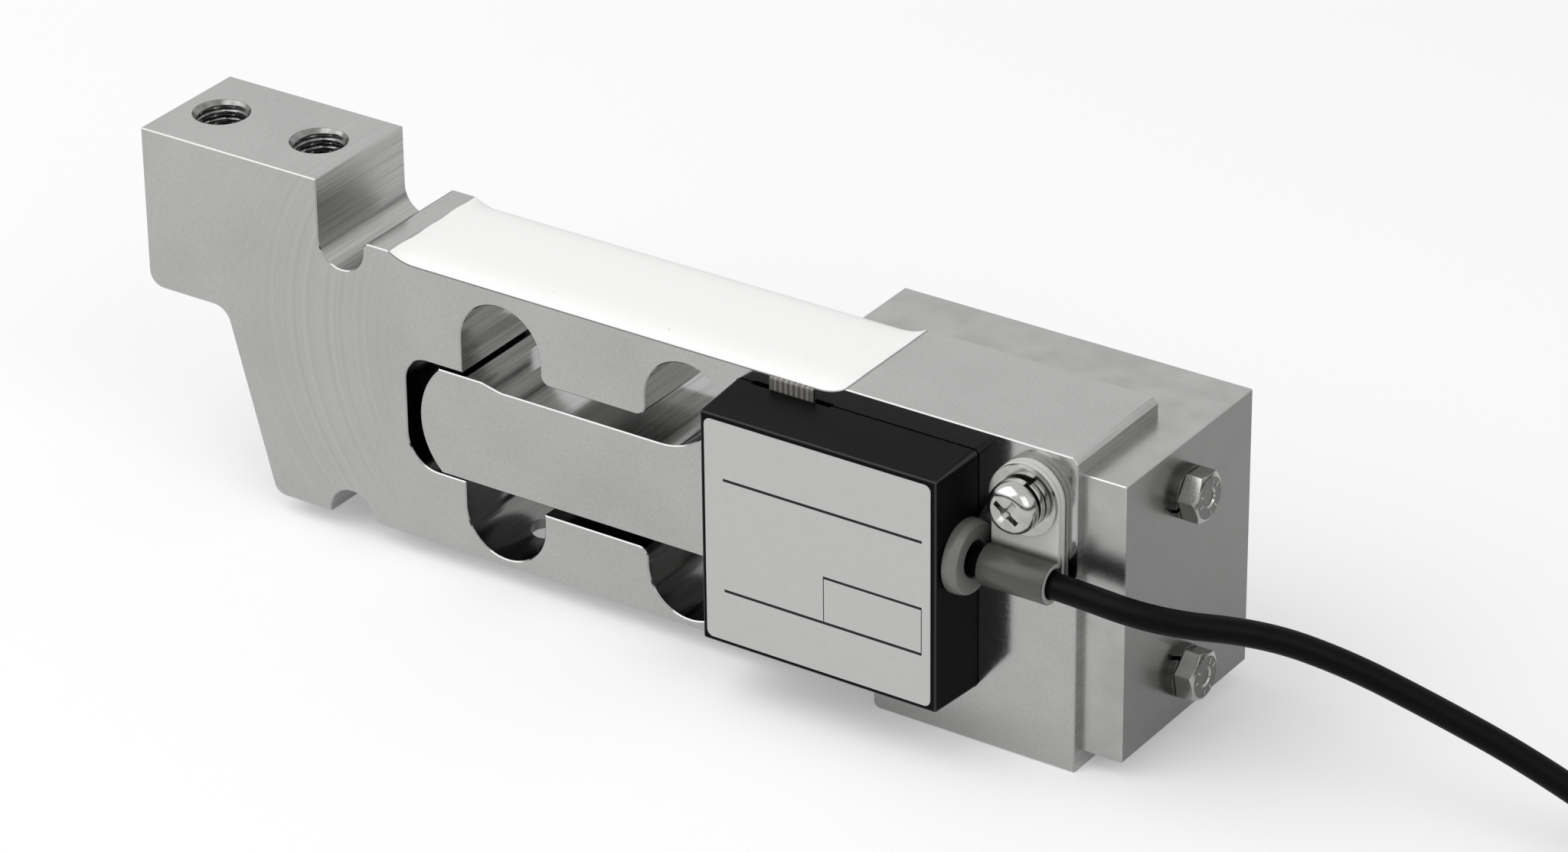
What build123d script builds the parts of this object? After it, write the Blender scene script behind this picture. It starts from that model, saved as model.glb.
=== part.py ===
from build123d import *
import math
import os

os.makedirs("parts", exist_ok=True)

# Driving dimensions, in millimetres. x runs along the beam towards its fixed end, y goes from the
# front face to the back, z is up. The origin is the middle of the base face under the fixed end.
beam_length = 190.0
beam_width = 25.0
base_length = 39.0
body_height = 58.2
underside_height = 3.75
end_chamfer = 1.0
edge_chamfer = 0.2

# Load block, at the raised free end
load_block_length = 38.0
load_block_height = 30.4
load_block_rise = 9.5
load_block_corner = 2.9
column_top_length = 16.8
column_foot_length = 26.0
column_lift = 0.45
column_foot_round = 2.5
column_top_round = 3.5
groove_radius = 4.8
groove_lip_round = 1.2
notch_depth = 6.4

# Recess for the gauges, milled across the top
recess_depth = 1.7
recess_cutter_radius = 10.0
recess_start = 44.0
recess_length = 93.2

# Flexures: four round cuts that leave thin webs above and below
flexure_from_end = 76.0
flexure_span = 38.0
lobe_radius = 8.3
upper_web = 2.7
lower_web = 1.4
web_hole_diameter = 6.5
link_upper_depth = 16.7
link_lower_top = 16.3
link_round = 1.9

# Overload tongue, a bar that grows from the fixed end and ends in a window by the load block
tongue_bottom = 18.2
tongue_top_depth = 20.8
tongue_tip_rise = 0.9
tongue_tip_length = 9.0
tongue_ramp_length = 4.0
tongue_tip_radius = 14.0
tongue_root_radius = 12.5
tongue_reach = 55.5
window_gap = 0.3
window_end_gap = 2.9
window_ceiling_gap = 0.7
window_top_round = 4.7
window_bottom_round = 6.3
root_round = 4.7

# Threaded holes, at the tapping diameter: the load pair and the base pair are alike
mount_bore_diameter = 8.5
mount_bore_depth = 20.0
mount_countersink_diameter = 10.4
mount_spacing = 21.25
load_hole_from_end = 8.0

# End block, an angle that closes the end face and runs along the back
end_plate_thickness = 8.0
end_block_back_depth = 16.7
end_block_back_length = 59.4
end_block_inset = 3.5
end_block_front_inset = 1.75
end_bolt_spacing = 33.4
end_bolt_from_front = 20.0

# Fasteners, all of one thread size
screw_diameter = 5.0
screw_clearance = 0.05
passage_clearance = 0.25
screw_grip = 12.0
hex_across_flats = 8.0
hex_height = 3.5
hex_crown_share = 0.96
hex_crown_slope = 60.0
end_bolt_turns = (12.0, 24.0)
end_washer_turns = (35.0, 110.0)
spring_washer_diameter = 9.2
spring_washer_thickness = 1.3
spring_washer_split = 0.8
spring_washer_split_tilt = 18.0
pan_diameter = 9.0
pan_height = 3.0
pan_edge_round = 1.6
pan_recess_size = 5.2
pan_recess_blade = 1.1
pan_recess_depth = 1.9
pan_recess_turn = 35.0
flat_washer_diameter = 12.5
flat_washer_thickness = 0.8
clamp_washer_turn = 150.0
clamp_washer_thickness = 2.0
screw_hole_spare = 2.0

# Junction box on the front face
box_width = 47.2
box_height = 44.3
box_depth = 11.5
box_draft_inset = 0.75
box_wall = 1.8
box_corner_round = 1.2
box_edge_round = 0.6
box_from_end = 42.2
box_drop = 3.8
box_post_diameter = 4.5
box_tape_thickness = 0.2
box_tape_width = 1.4
box_tape_inset = 0.3
label_width = 43.8
label_height = 40.9
label_thickness = 0.15
label_corner = 1.2

# Inside the box
board_width = 36.0
board_height = 34.0
board_thickness = 1.6
board_gap_to_cover = 3.2
board_hole_inset = 3.5
board_screw_diameter = 2.0
board_screw_head = 3.8
board_screw_head_height = 1.3
board_screw_tip_gap = 0.5
board_post_floor = 1.0
board_corner = 1.0
connector_width = 10.4
connector_height = 4.0
connector_depth = 2.2
connector_inset = 1.0
resistor_length = 3.2
resistor_width = 1.6
resistor_thickness = 0.9
resistor_spacing = 5.0
resistor_count = 4
resistor_drop = 6.0
resistor_start = 9.0
core_diameter = 0.9
core_gap = 0.15
core_pad_inset = 2.0
core_pad_stagger = 1.5
core_count = 4

# Gauges and their flat cable
gauge_length = 7.0
gauge_width = 6.0
gauge_thickness = 0.15
gauge_from_middle = 5.5
terminal_length = 9.0
terminal_width = 5.0
terminal_thickness = 0.3
flex_width = 8.6
flex_thickness = 0.2
flex_from_end = 54.6
flex_under_potting = 7.0
flex_gap = 0.15
slot_width = 15.6
slot_depth = 0.5
potting_crown = 1.75
potting_edge_height = 0.35
potting_slope_width = 4.5

# Cable, its bush and its clamp
cable_diameter = 4.5
cable_rise = 4.25
bush_hole_diameter = 6.2
bush_flange_diameter = 12.0
bush_collar_diameter = 12.9
bush_neck_diameter = 9.0
bush_flange_thickness = 1.2
bush_collar_thickness = 1.0
bush_axis_offset = 0.6
back_clearance = 0.1
clamp_band_thickness = 1.15
clamp_band_clearance = 0.2
clamp_width = 12.7
clamp_slit = 0.15
clamp_screw_rise = 13.1
clamp_from_end = 8.5

# Coil of the spare cable, and the bare ends that it finishes in
coil_mid_radius = 25.0
coil_x = 127.4
coil_y = 39.2
coil_bottom_turns = 3
lead_diameter = 1.1
lead_length = 21.0
lead_fan_angle = 9.0
lead_heading = 60.0
lead_count = 5

# Sizes that follow from those above
end_x = base_length / 2
front_y = -beam_width / 2
back_y = beam_width / 2
load_end_x = end_x - beam_length
load_block_right = load_end_x + load_block_length
load_top = body_height + load_block_rise
load_block_bottom = load_top - load_block_height
load_foot = underside_height - column_lift
groove_x = load_block_right + groove_radius
recess_right = end_x - recess_start
recess_left = recess_right - recess_length
recess_floor = body_height - recess_depth
flexure_right = end_x - flexure_from_end
flexure_left = flexure_right - flexure_span
lobe_top_z = recess_floor - upper_web - lobe_radius
lobe_bottom_z = underside_height + lower_web + lobe_radius
link_upper_bottom = body_height - link_upper_depth
tongue_top = body_height - tongue_top_depth
tongue_tip_x = flexure_right - tongue_reach
window_left = tongue_tip_x - window_end_gap
window_floor = tongue_bottom - window_gap
window_ceiling = tongue_top + tongue_tip_rise + window_ceiling_gap
recess_run_in = math.sqrt(recess_cutter_radius**2 - (recess_cutter_radius - recess_depth) ** 2)
recess_cutter_z = recess_floor + recess_cutter_radius
screw_hole_radius = screw_diameter / 2 + screw_clearance
screw_passage_radius = screw_diameter / 2 + passage_clearance
end_bolt_y = front_y + end_bolt_from_front
end_plate_x = end_x + end_plate_thickness
end_bolt_seat = end_plate_x + spring_washer_thickness
end_bolt_heights = (body_height / 2 - end_bolt_spacing / 2, body_height / 2 + end_bolt_spacing / 2)
flex_x = end_x - flex_from_end
box_x = end_x - box_from_end
box_top = body_height - box_drop
box_bottom = box_top - box_height
box_mid_height = box_top - box_height / 2
box_side_x = box_x + box_width / 2
box_front_y = front_y - box_depth
box_draft = math.degrees(math.atan(box_draft_inset / box_depth))
board_front_y = box_front_y + box_wall + board_gap_to_cover
board_back_y = board_front_y + board_thickness
board_top = box_mid_height + board_height / 2
band_inner_radius = cable_diameter / 2 + clamp_band_clearance
band_outer_radius = band_inner_radius + clamp_band_thickness
cable_y = front_y - band_outer_radius
cable_height = box_mid_height + cable_rise
bush_y = cable_y - bush_axis_offset
bush_z = cable_height + bush_axis_offset
clamp_x = end_x - clamp_from_end
clamp_screw_height = cable_height + clamp_screw_rise
clamp_face_y = front_y - 2 * clamp_band_thickness
clamp_screw_seat = clamp_face_y - flat_washer_thickness - clamp_washer_thickness
coil_half_width = coil_bottom_turns * cable_diameter / 2


def at_front(offset=0.0):
    """Plane on the beam's front face, or that far in front of it, drawn in x and z."""
    return Plane.XZ.offset(-front_y + offset)


def prism(sketch, y_from, y_to):
    """Solid of an x, z sketch between two depths."""
    return extrude(Plane.XZ.offset(-y_to) * sketch, amount=y_to - y_from)


def outline(corners):
    """Filled sketch from corners given as (first axis, second axis, rounding)."""
    points = [(a, b) for a, b, _ in corners]
    return make_face(FilletPolyline(*points, radius=[r for _, _, r in corners], close=True))


def box_between(low, high):
    """Plain block between two opposite corners."""
    size = [b - a for a, b in zip(low, high)]
    middle = [(a + b) / 2 for a, b in zip(low, high)]
    return Pos(*middle) * Box(*size)


def rect_between(x_from, x_to, z_from, z_to):
    """Filled rectangle in a sketch between two opposite corners."""
    return Pos((x_from + x_to) / 2, (z_from + z_to) / 2) * Rectangle(x_to - x_from, z_to - z_from)


def rod(start, direction, radius, length):
    """Cylinder that starts at a point and runs along a direction."""
    return extrude(Plane(start, z_dir=direction) * Circle(radius), amount=length)


def lobe(x, z, z_open):
    """Round flexure cut that stays open towards the middle of the beam."""
    low, high = sorted((z, z_open))
    return Pos(x, z) * Circle(lobe_radius) + rect_between(x - lobe_radius, x + lobe_radius, low, high)


def nearest_corner(sketch, x, z):
    """Sketch corner that lies closest to a point."""
    return sketch.vertices().sort_by_distance((x, z, 0))[0]


def tongue_sketch():
    """Overload tongue: arc-ended tip, low middle, and a root that sweeps up into the fixed end."""
    mid_z = (tongue_bottom + tongue_top + tongue_tip_rise) / 2
    half = mid_z - tongue_bottom
    sagitta = tongue_tip_radius - math.sqrt(tongue_tip_radius**2 - half**2)
    shoulder_x = tongue_tip_x + sagitta
    tip_top = tongue_top + tongue_tip_rise
    ramp_x = shoulder_x + tongue_tip_length
    root_z = lobe_bottom_z
    root_x = flexure_right + lobe_radius
    sweep_x = root_x - tongue_root_radius - root_round / 4
    sweep_end_x = sweep_x + tongue_root_radius
    edges = [
        ThreePointArc((shoulder_x, tongue_bottom), (tongue_tip_x, mid_z), (shoulder_x, tip_top)),
        Line((shoulder_x, tip_top), (ramp_x, tip_top)),
        Line((ramp_x, tip_top), (ramp_x + tongue_ramp_length, tongue_top)),
        Line((ramp_x + tongue_ramp_length, tongue_top), (sweep_x, tongue_top)),
        CenterArc((sweep_x, tongue_top + tongue_root_radius), tongue_root_radius, 270, 90),
        Line((sweep_end_x, tongue_top + tongue_root_radius), (end_x, tongue_top + tongue_root_radius)),
        Line((end_x, tongue_top + tongue_root_radius), (end_x, root_z)),
        Line((end_x, root_z), (root_x, root_z)),
        CenterArc((root_x - root_round, root_z), root_round, 0, 90),
        Line((root_x - root_round, root_z + root_round), (root_x - root_round, tongue_bottom)),
        Line((root_x - root_round, tongue_bottom), (shoulder_x, tongue_bottom)),
    ]
    return make_face([edge for edge in edges if edge.length > 1e-6])


def window_sketch():
    """Everything that is cut through the beam: four lobes, the middle window, less the tongue."""
    left, right = flexure_left - lobe_radius, flexure_right + lobe_radius
    side = outline([
        (window_left, window_floor, window_bottom_round),
        (left + lobe_radius, window_floor, 0),
        (left + lobe_radius, window_ceiling, 0),
        (window_left, window_ceiling, window_top_round),
    ])
    middle = rect_between(flexure_left, right, link_lower_top, link_upper_bottom)
    cut = side + middle
    for x in (flexure_left, flexure_right):
        cut += lobe(x, lobe_top_z, tongue_top)
        cut += lobe(x, lobe_bottom_z, tongue_bottom)
    links = [
        (flexure_left + lobe_radius, link_upper_bottom),
        (flexure_right - lobe_radius, link_upper_bottom),
        (flexure_right - lobe_radius, link_lower_top),
    ]
    cut = fillet([nearest_corner(cut, x, z) for x, z in links], link_round)
    return cut - tongue_sketch()


def beam_sketch():
    """Side view of the beam without its window."""
    top_slant = load_end_x + column_top_length
    foot_slant = load_end_x + column_foot_length
    body = outline([
        (load_end_x, load_block_bottom, load_block_corner),
        (load_end_x, load_top, 0),
        (load_block_right, load_top, 0),
        (load_block_right, body_height, 0),
        (end_x - end_chamfer, body_height, 0),
        (end_x, body_height - end_chamfer, 0),
        (end_x, 0, 0),
        (end_x - base_length, 0, groove_lip_round),
        (end_x - base_length, underside_height, groove_lip_round),
        (groove_x, underside_height, 0),
        (groove_x, load_foot, 0),
        (foot_slant, load_foot, column_foot_round),
        (top_slant, load_block_bottom, column_top_round),
    ])
    notch_z = body_height - notch_depth + groove_radius
    notch = Pos(groove_x, notch_z) * Circle(groove_radius)
    notch += rect_between(groove_x - groove_radius, groove_x + groove_radius, notch_z, load_top)
    groove = Pos(groove_x, underside_height) * Circle(groove_radius)
    recess = rect_between(recess_left, recess_right, body_height, load_top)
    flat_left, flat_right = recess_left + recess_run_in, recess_right - recess_run_in
    for x in (flat_left, flat_right):
        recess += Pos(x, recess_cutter_z) * Circle(recess_cutter_radius)
    recess += rect_between(flat_left, flat_right, recess_floor, load_top)
    body = body - notch - groove - recess
    lips = [
        nearest_corner(body, groove_x + groove_radius, body_height),
        nearest_corner(body, groove_x + groove_radius, underside_height),
    ]
    return fillet(lips, groove_lip_round)


def countersunk_bore(x, z, direction):
    """Cutter for a threaded mounting hole that opens upwards (1) or downwards (-1)."""
    radius = mount_bore_diameter / 2
    mouth = mount_countersink_diameter / 2
    side = [(0, 0), (mouth, 0), (radius, mouth - radius), (radius, mount_bore_depth), (0, mount_bore_depth)]
    turned = revolve(Plane.XZ * make_face(Polyline(*side, close=True)), Axis.Z)
    if direction > 0:
        turned = Rot(180, 0, 0) * turned
    return Pos(x, 0, z) * turned


def under_potting(edge):
    """Whether an edge lies along the recess, where the filler covers it and it is left sharp."""
    middle = edge.center()
    in_length = recess_left < middle.X < recess_right
    return in_length and recess_floor - 0.01 < middle.Z < body_height - 0.01


def beam_rims(body):
    """Edges that are broken by a small chamfer: front and back outlines, window, and load block top."""
    sides = [face for face in body.faces() if abs(abs(face.center().Y) - beam_width / 2) < 0.01]
    rims = [edge for face in sides for edge in face.edges() if not under_potting(edge)]
    block_top = body.faces().sort_by(Axis.Z)[-1].edges()
    return rims + [edge for edge in block_top if abs(edge.center().Y) < 0.01]


def spring_element():
    """The beam itself, one machined block."""
    body = prism(beam_sketch() - window_sketch(), front_y, back_y)
    body = chamfer(beam_rims(body), edge_chamfer)
    first_x = load_end_x + load_hole_from_end
    for x in (first_x, first_x + mount_spacing):
        body -= countersunk_bore(x, load_top, 1)
    for x in (-mount_spacing / 2, mount_spacing / 2):
        body -= countersunk_bore(x, 0, -1)
    for x in (flexure_left, flexure_right):
        body -= Pos(x, 0, underside_height + lobe_radius / 2) * Cylinder(web_hole_diameter / 2, lobe_radius)
    screw_hole_depth = screw_grip + screw_hole_spare
    for z in end_bolt_heights:
        body -= rod((end_x, end_bolt_y, z), (-1, 0, 0), screw_hole_radius, screw_hole_depth)
    body -= rod((clamp_x, front_y, clamp_screw_height), (0, 1, 0), screw_hole_radius, screw_hole_depth)
    return body


def end_block():
    """Angle-shaped block screwed to the end face, with its long leg behind the beam."""
    left = end_x - end_block_back_length
    far = back_y + end_block_back_depth
    near = front_y + end_block_front_inset
    plan = make_face(Polyline(
        (end_x, near), (end_plate_x, near), (end_plate_x, far), (left, far), (left, back_y), (end_x, back_y),
        close=True,
    ))
    low = end_block_inset
    high = body_height - end_block_inset
    block = extrude(Plane.XY.offset(low) * plan, amount=high - low)
    outer = [e for e in block.edges() if e.center().X > end_x + edge_chamfer or e.center().Y > far - 1]
    block = chamfer(outer, edge_chamfer)
    for z in end_bolt_heights:
        block -= rod((end_x, end_bolt_y, z), (1, 0, 0), screw_passage_radius, end_plate_thickness)
    return block


def hex_bolt(turn):
    """Hexagon bolt along x, its seat at the origin and its head on the +x side."""
    flats = RegularPolygon(hex_across_flats / 2, 6, major_radius=False, rotation=turn)
    crown = Circle(hex_crown_share * hex_across_flats / 2)
    cone = extrude(Plane.YZ.offset(hex_height) * crown, amount=-hex_height, taper=-hex_crown_slope)
    head = extrude(Plane.YZ * flats, amount=hex_height) & cone
    grip = screw_grip + end_plate_thickness + spring_washer_thickness
    return head + rod((0, 0, 0), (-1, 0, 0), screw_diameter / 2, grip)


def spring_washer(thickness):
    """Split ring about x, from the origin towards -x."""
    ring = Circle(spring_washer_diameter / 2) - Circle(screw_passage_radius)
    solid = extrude(Plane.YZ * ring, amount=-thickness)
    slit = Box(4 * thickness, spring_washer_split, spring_washer_diameter)
    return solid - Pos(0, 0, spring_washer_diameter / 2) * Rot(0, 0, spring_washer_split_tilt) * slit


def end_bolts():
    """Two bolts, each turned its own way."""
    places = zip(end_bolt_heights, end_bolt_turns)
    return [Pos(end_bolt_seat, end_bolt_y, z) * hex_bolt(turn) for z, turn in places]


def end_bolt_washers():
    """A spring washer under each end bolt."""
    places = zip(end_bolt_heights, end_washer_turns)
    return [
        Pos(end_bolt_seat, end_bolt_y, z) * Rot(turn, 0, 0) * spring_washer(spring_washer_thickness)
        for z, turn in places
    ]


def strain_gauges():
    """Two gauges side by side over each upper web."""
    low = recess_floor
    high = recess_floor + gauge_thickness
    gauges = []
    for x in (flexure_left, flexure_right):
        for y in (-gauge_from_middle, gauge_from_middle):
            corner_low = (x - gauge_length / 2, y - gauge_width / 2, low)
            corner_high = (x + gauge_length / 2, y + gauge_width / 2, high)
            gauges.append(box_between(corner_low, corner_high))
    return gauges


def gauge_terminals():
    """Solder pads between the gauges, where the bridge is joined up."""
    middle = (flexure_left + flexure_right) / 2
    low = (middle - terminal_length / 2, -terminal_width / 2, recess_floor)
    high = (middle + terminal_length / 2, terminal_width / 2, recess_floor + terminal_thickness)
    return box_between(low, high)


def gauge_flex_cable():
    """Flat cable from under the potting, over the beam's edge and down to the board's socket."""
    top = recess_floor + flex_thickness
    out = front_y - flex_gap
    plug_z = board_top - connector_height / 2
    plug_y = board_back_y + connector_depth
    path = [
        (front_y + flex_under_potting, recess_floor),
        (out, recess_floor),
        (out, plug_z),
        (plug_y, plug_z),
        (plug_y, plug_z + flex_thickness),
        (out - flex_thickness, plug_z + flex_thickness),
        (out - flex_thickness, top),
        (front_y + flex_under_potting, top),
    ]
    strip = make_face(Polyline(*path, close=True))
    return extrude(Plane.YZ.offset(flex_x - flex_width / 2) * strip, amount=flex_width)


def gauge_potting():
    """Soft filler that levels the recess and rounds down to the beam's long edges."""
    left, right = recess_left + recess_run_in, recess_right - recess_run_in
    side = rect_between(left, right, recess_floor, recess_floor + potting_crown)
    for x in (left, right):
        disc = Pos(x, recess_cutter_z) * Circle(recess_cutter_radius)
        side += disc & rect_between(recess_left, recess_right, recess_floor, recess_floor + recess_depth)
    body = prism(side, front_y, back_y)
    drop = potting_crown - potting_edge_height
    crown_z = recess_floor + potting_crown
    for edge_y, inwards in ((front_y, 1), (back_y, -1)):
        wedge = make_face(Polyline(
            (edge_y, crown_z + 1),
            (edge_y, crown_z - drop),
            (edge_y + inwards * potting_slope_width, crown_z),
            (edge_y + inwards * potting_slope_width, crown_z + 1),
            close=True,
        ))
        body -= extrude(Plane.YZ.offset(left) * wedge, amount=right - left)
    for piece in strain_gauges() + [gauge_terminals(), gauge_flex_cable()]:
        body -= piece
    return body


def box_outer():
    """Outer shape of the moulded box, with draft on its four sides."""
    base = Pos(box_x, box_mid_height) * RectangleRounded(box_width, box_height, box_corner_round)
    shape = extrude(at_front() * base, amount=box_depth, taper=box_draft)
    return fillet(shape.faces().sort_by(Axis.Y)[0].edges(), box_edge_round)


def box_posts():
    """Centres of the two posts that carry the board, in opposite corners."""
    dx = board_width / 2 - board_hole_inset
    dz = board_height / 2 - board_hole_inset
    return [(box_x + side * dx, box_mid_height + side * dz) for side in (-1, 1)]


def bush_neck(radius, x_from, x_to):
    """Round bar about the bush's axis that runs on to the beam's face."""
    shape = Pos(bush_y, bush_z) * Circle(radius)
    shape += rect_between(bush_y, front_y, bush_z - radius, bush_z + radius)
    return extrude(Plane.YZ.offset(x_from) * shape, amount=x_to - x_from)


def box_cover():
    """Box moulding, open towards the beam, with a slot for the flat cable and one for the bush."""
    room = Rectangle(box_width - 2 * box_wall, box_height - 2 * box_wall)
    room_base = at_front() * (Pos(box_x, box_mid_height) * room)
    shape = box_outer() - extrude(room_base, amount=box_depth - box_wall, taper=box_draft)
    pilot_depth = board_gap_to_cover + box_wall - board_post_floor
    for x, z in box_posts():
        top = (x, board_front_y, z)
        shape += rod(top, (0, -1, 0), box_post_diameter / 2, board_gap_to_cover)
        shape -= rod(top, (0, -1, 0), board_screw_diameter / 2, pilot_depth)
    slot_low = (flex_x - slot_width / 2, front_y - slot_depth, box_top - 2 * box_wall)
    shape -= box_between(slot_low, (flex_x + slot_width / 2, front_y, box_top))
    shape -= bush_neck(bush_neck_diameter / 2, box_side_x - 2 * box_wall, box_side_x)
    return Pos(0, -box_tape_thickness, 0) * shape


def box_tape():
    """Double-sided tape under the box's rim, broken at the two slots."""
    outer_width = box_width - 2 * box_tape_inset
    outer_height = box_height - 2 * box_tape_inset
    ring = Rectangle(outer_width, outer_height)
    ring -= Rectangle(outer_width - 2 * box_tape_width, outer_height - 2 * box_tape_width)
    tape = extrude(at_front() * (Pos(box_x, box_mid_height) * ring), amount=box_tape_thickness)
    near_y = front_y - box_tape_thickness
    low = (flex_x - slot_width / 2, near_y, box_mid_height)
    tape -= box_between(low, (flex_x + slot_width / 2, front_y, box_top))
    low = (box_x, near_y, bush_z - bush_collar_diameter / 2)
    return tape - box_between(low, (box_side_x, front_y, bush_z + bush_collar_diameter / 2))


def circuit_board():
    """Board on its posts, component side towards the beam."""
    plate = Pos(box_x, box_mid_height) * RectangleRounded(board_width, board_height, board_corner)
    for x, z in box_posts():
        plate -= Pos(x, z) * Circle(board_screw_diameter / 2 + screw_clearance)
    return prism(plate, board_front_y, board_back_y)


def board_screws():
    """Small screws that hold the board to the posts."""
    screws = []
    hole_depth = board_thickness + board_gap_to_cover + box_wall - board_post_floor
    shank_length = hole_depth - board_screw_tip_gap
    shank_radius = board_screw_diameter / 2 - screw_clearance
    for x, z in box_posts():
        head = rod((x, board_back_y, z), (0, 1, 0), board_screw_head / 2, board_screw_head_height)
        shank = rod((x, board_back_y, z), (0, -1, 0), shank_radius, shank_length)
        screws.append(head + shank)
    return screws


def flex_connector():
    """Socket at the top of the board that takes the flat cable."""
    top = board_top - connector_inset
    low = (flex_x - connector_width / 2, board_back_y, top - connector_height)
    high = (flex_x + connector_width / 2, board_back_y + connector_depth, top)
    return box_between(low, high) - gauge_flex_cable()


def trim_resistors():
    """Row of chip resistors that set zero and span."""
    chips = []
    z = box_mid_height - resistor_drop
    for i in range(resistor_count):
        low = (box_x - resistor_start + resistor_spacing * i, board_back_y, z)
        high = (low[0] + resistor_length, board_back_y + resistor_thickness, z + resistor_width)
        chips.append(box_between(low, high))
    return chips


def front_label():
    """Rating label on the face of the box, its print left out."""
    plate = Pos(box_x, box_mid_height) * RectangleRounded(label_width, label_height, label_corner)
    seat = box_front_y - box_tape_thickness
    return prism(plate, seat - label_thickness, seat)


def cable_bush():
    """Nylon bush in the box's side, flat where it lies against the beam."""
    x = box_side_x
    ring_x = x + bush_collar_thickness
    ring_end = ring_x + bush_flange_thickness
    neck_from = x - 2 * box_wall
    collar_from = (x - box_wall, bush_y, bush_z)
    bush = rod(collar_from, (1, 0, 0), bush_collar_diameter / 2, box_wall + bush_collar_thickness)
    bush -= Pos(0, -box_tape_thickness, 0) * box_outer()
    bush += rod((ring_x, bush_y, bush_z), (1, 0, 0), bush_flange_diameter / 2, bush_flange_thickness)
    bush += bush_neck(bush_neck_diameter / 2 - screw_clearance, neck_from, ring_x)
    bush -= rod((neck_from, bush_y, bush_z), (1, 0, 0), bush_hole_diameter / 2, ring_end - neck_from)
    trim_low = (neck_from, front_y - back_clearance, bush_z - bush_collar_diameter)
    trim_high = (ring_end, front_y + bush_collar_diameter, bush_z + bush_collar_diameter)
    return bush - box_between(trim_low, trim_high)


def cable_clamp():
    """Loop clamp: one nylon strip bent round the cable, its two ends pressed together."""
    leaf_thickness = clamp_band_thickness - clamp_slit / 2
    slit_y = front_y - clamp_band_thickness
    loop = Pos(cable_y, cable_height) * Circle(band_outer_radius)
    loop += rect_between(clamp_face_y, front_y, cable_height, clamp_screw_height)
    loop -= Pos(cable_y, cable_height) * Circle(band_inner_radius)
    loop -= rect_between(slit_y - clamp_slit / 2, slit_y + clamp_slit / 2, cable_height, clamp_screw_height)
    strip = extrude(Plane.YZ.offset(clamp_x - clamp_width / 2) * loop, amount=clamp_width)
    for leaf_y in (clamp_face_y, slit_y + clamp_slit / 2):
        leaf = (clamp_x, leaf_y, clamp_screw_height)
        strip += rod(leaf, (0, 1, 0), clamp_width / 2, leaf_thickness)
    hole = (clamp_x, clamp_face_y, clamp_screw_height)
    return strip - rod(hole, (0, 1, 0), screw_passage_radius, 2 * clamp_band_thickness)


def clamp_flat_washer():
    """Plain washer on the clamp."""
    ring = Circle(flat_washer_diameter / 2) - Circle(screw_passage_radius)
    return prism(Pos(clamp_x, clamp_screw_height) * ring, clamp_face_y - flat_washer_thickness, clamp_face_y)


def clamp_spring_washer():
    """Split washer between the plain washer and the screw head."""
    turned = Rot(0, 0, -90) * Rot(clamp_washer_turn, 0, 0) * spring_washer(clamp_washer_thickness)
    return Pos(clamp_x, clamp_screw_seat, clamp_screw_height) * turned


def clamp_screw():
    """Pan head screw with a cross recess, along y."""
    head = rod((0, 0, 0), (0, -1, 0), pan_diameter / 2, pan_height)
    head = fillet(head.edges().sort_by(Axis.Y)[0], pan_edge_round)
    for turn in (pan_recess_turn, pan_recess_turn + 90):
        blade = Box(pan_recess_size, pan_recess_depth * 2, pan_recess_blade)
        head -= Pos(0, -pan_height, 0) * Rot(0, turn, 0) * blade
    grip = screw_grip + front_y - clamp_screw_seat
    screw = head + rod((0, 0, 0), (0, 1, 0), screw_diameter / 2, grip)
    return Pos(clamp_x, clamp_screw_seat, clamp_screw_height) * screw


# Points of the cable's route, chosen by hand: out of the bush, through the clamp and down to the floor
cable_route = [
    (1.0, cable_y, 36.5),
    (18.5, cable_y, 36.4),
    (36.2, -15.3, 34.8),
    (49.8, -5.3, 32.4),
    (61.7, 1.0, 27.6),
    (75.6, 4.7, 22.0),
    (90.1, 7.3, 16.5),
    (105.1, 8.6, 10.2),
    (117.5, 9.3, 4.6),
    (128.5, 9.7, 2.3),
]


def tube_radii(points):
    """Bend radius at each inner point: 0.45 of the shorter run over the tangent of half the turn."""
    radii = []
    for before, here, after in zip(points, points[1:], points[2:]):
        run_in = Vector(*here) - Vector(*before)
        run_out = Vector(*after) - Vector(*here)
        turn = math.radians(run_in.get_angle(run_out))
        radii.append(0.45 * min(run_in.length, run_out.length) / math.tan(turn / 2))
    return radii


def cable_coil():
    """Outer shape of the wound spare cable: three turns below, two above."""
    top = cable_diameter * (1 + math.sqrt(3) / 2)
    inner, outer = coil_mid_radius - coil_half_width, coil_mid_radius + coil_half_width
    section = make_face(Polyline(
        (inner, 0),
        (outer, 0),
        (outer, cable_diameter),
        (outer - cable_diameter / 2, top),
        (inner + cable_diameter / 2, top),
        (inner, cable_diameter),
        close=True,
    ))
    return Pos(coil_x, coil_y, 0) * revolve(Plane.XZ * section, Axis.Z)


def signal_cable():
    """Cable from the bush to the coil."""
    radii = tube_radii(cable_route)
    print("cable bend radii", [round(r, 1) for r in radii])
    path = FilletPolyline(*cable_route, radius=radii)
    start = Plane(origin=path @ 0, z_dir=path % 0)
    tube = sweep(start * Circle(cable_diameter / 2), path=path)
    section = math.pi * cable_diameter**2 / 4
    print("cable tube volume over section times length", round(tube.volume / (section * path.length), 4))
    return tube - cable_coil()


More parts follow.
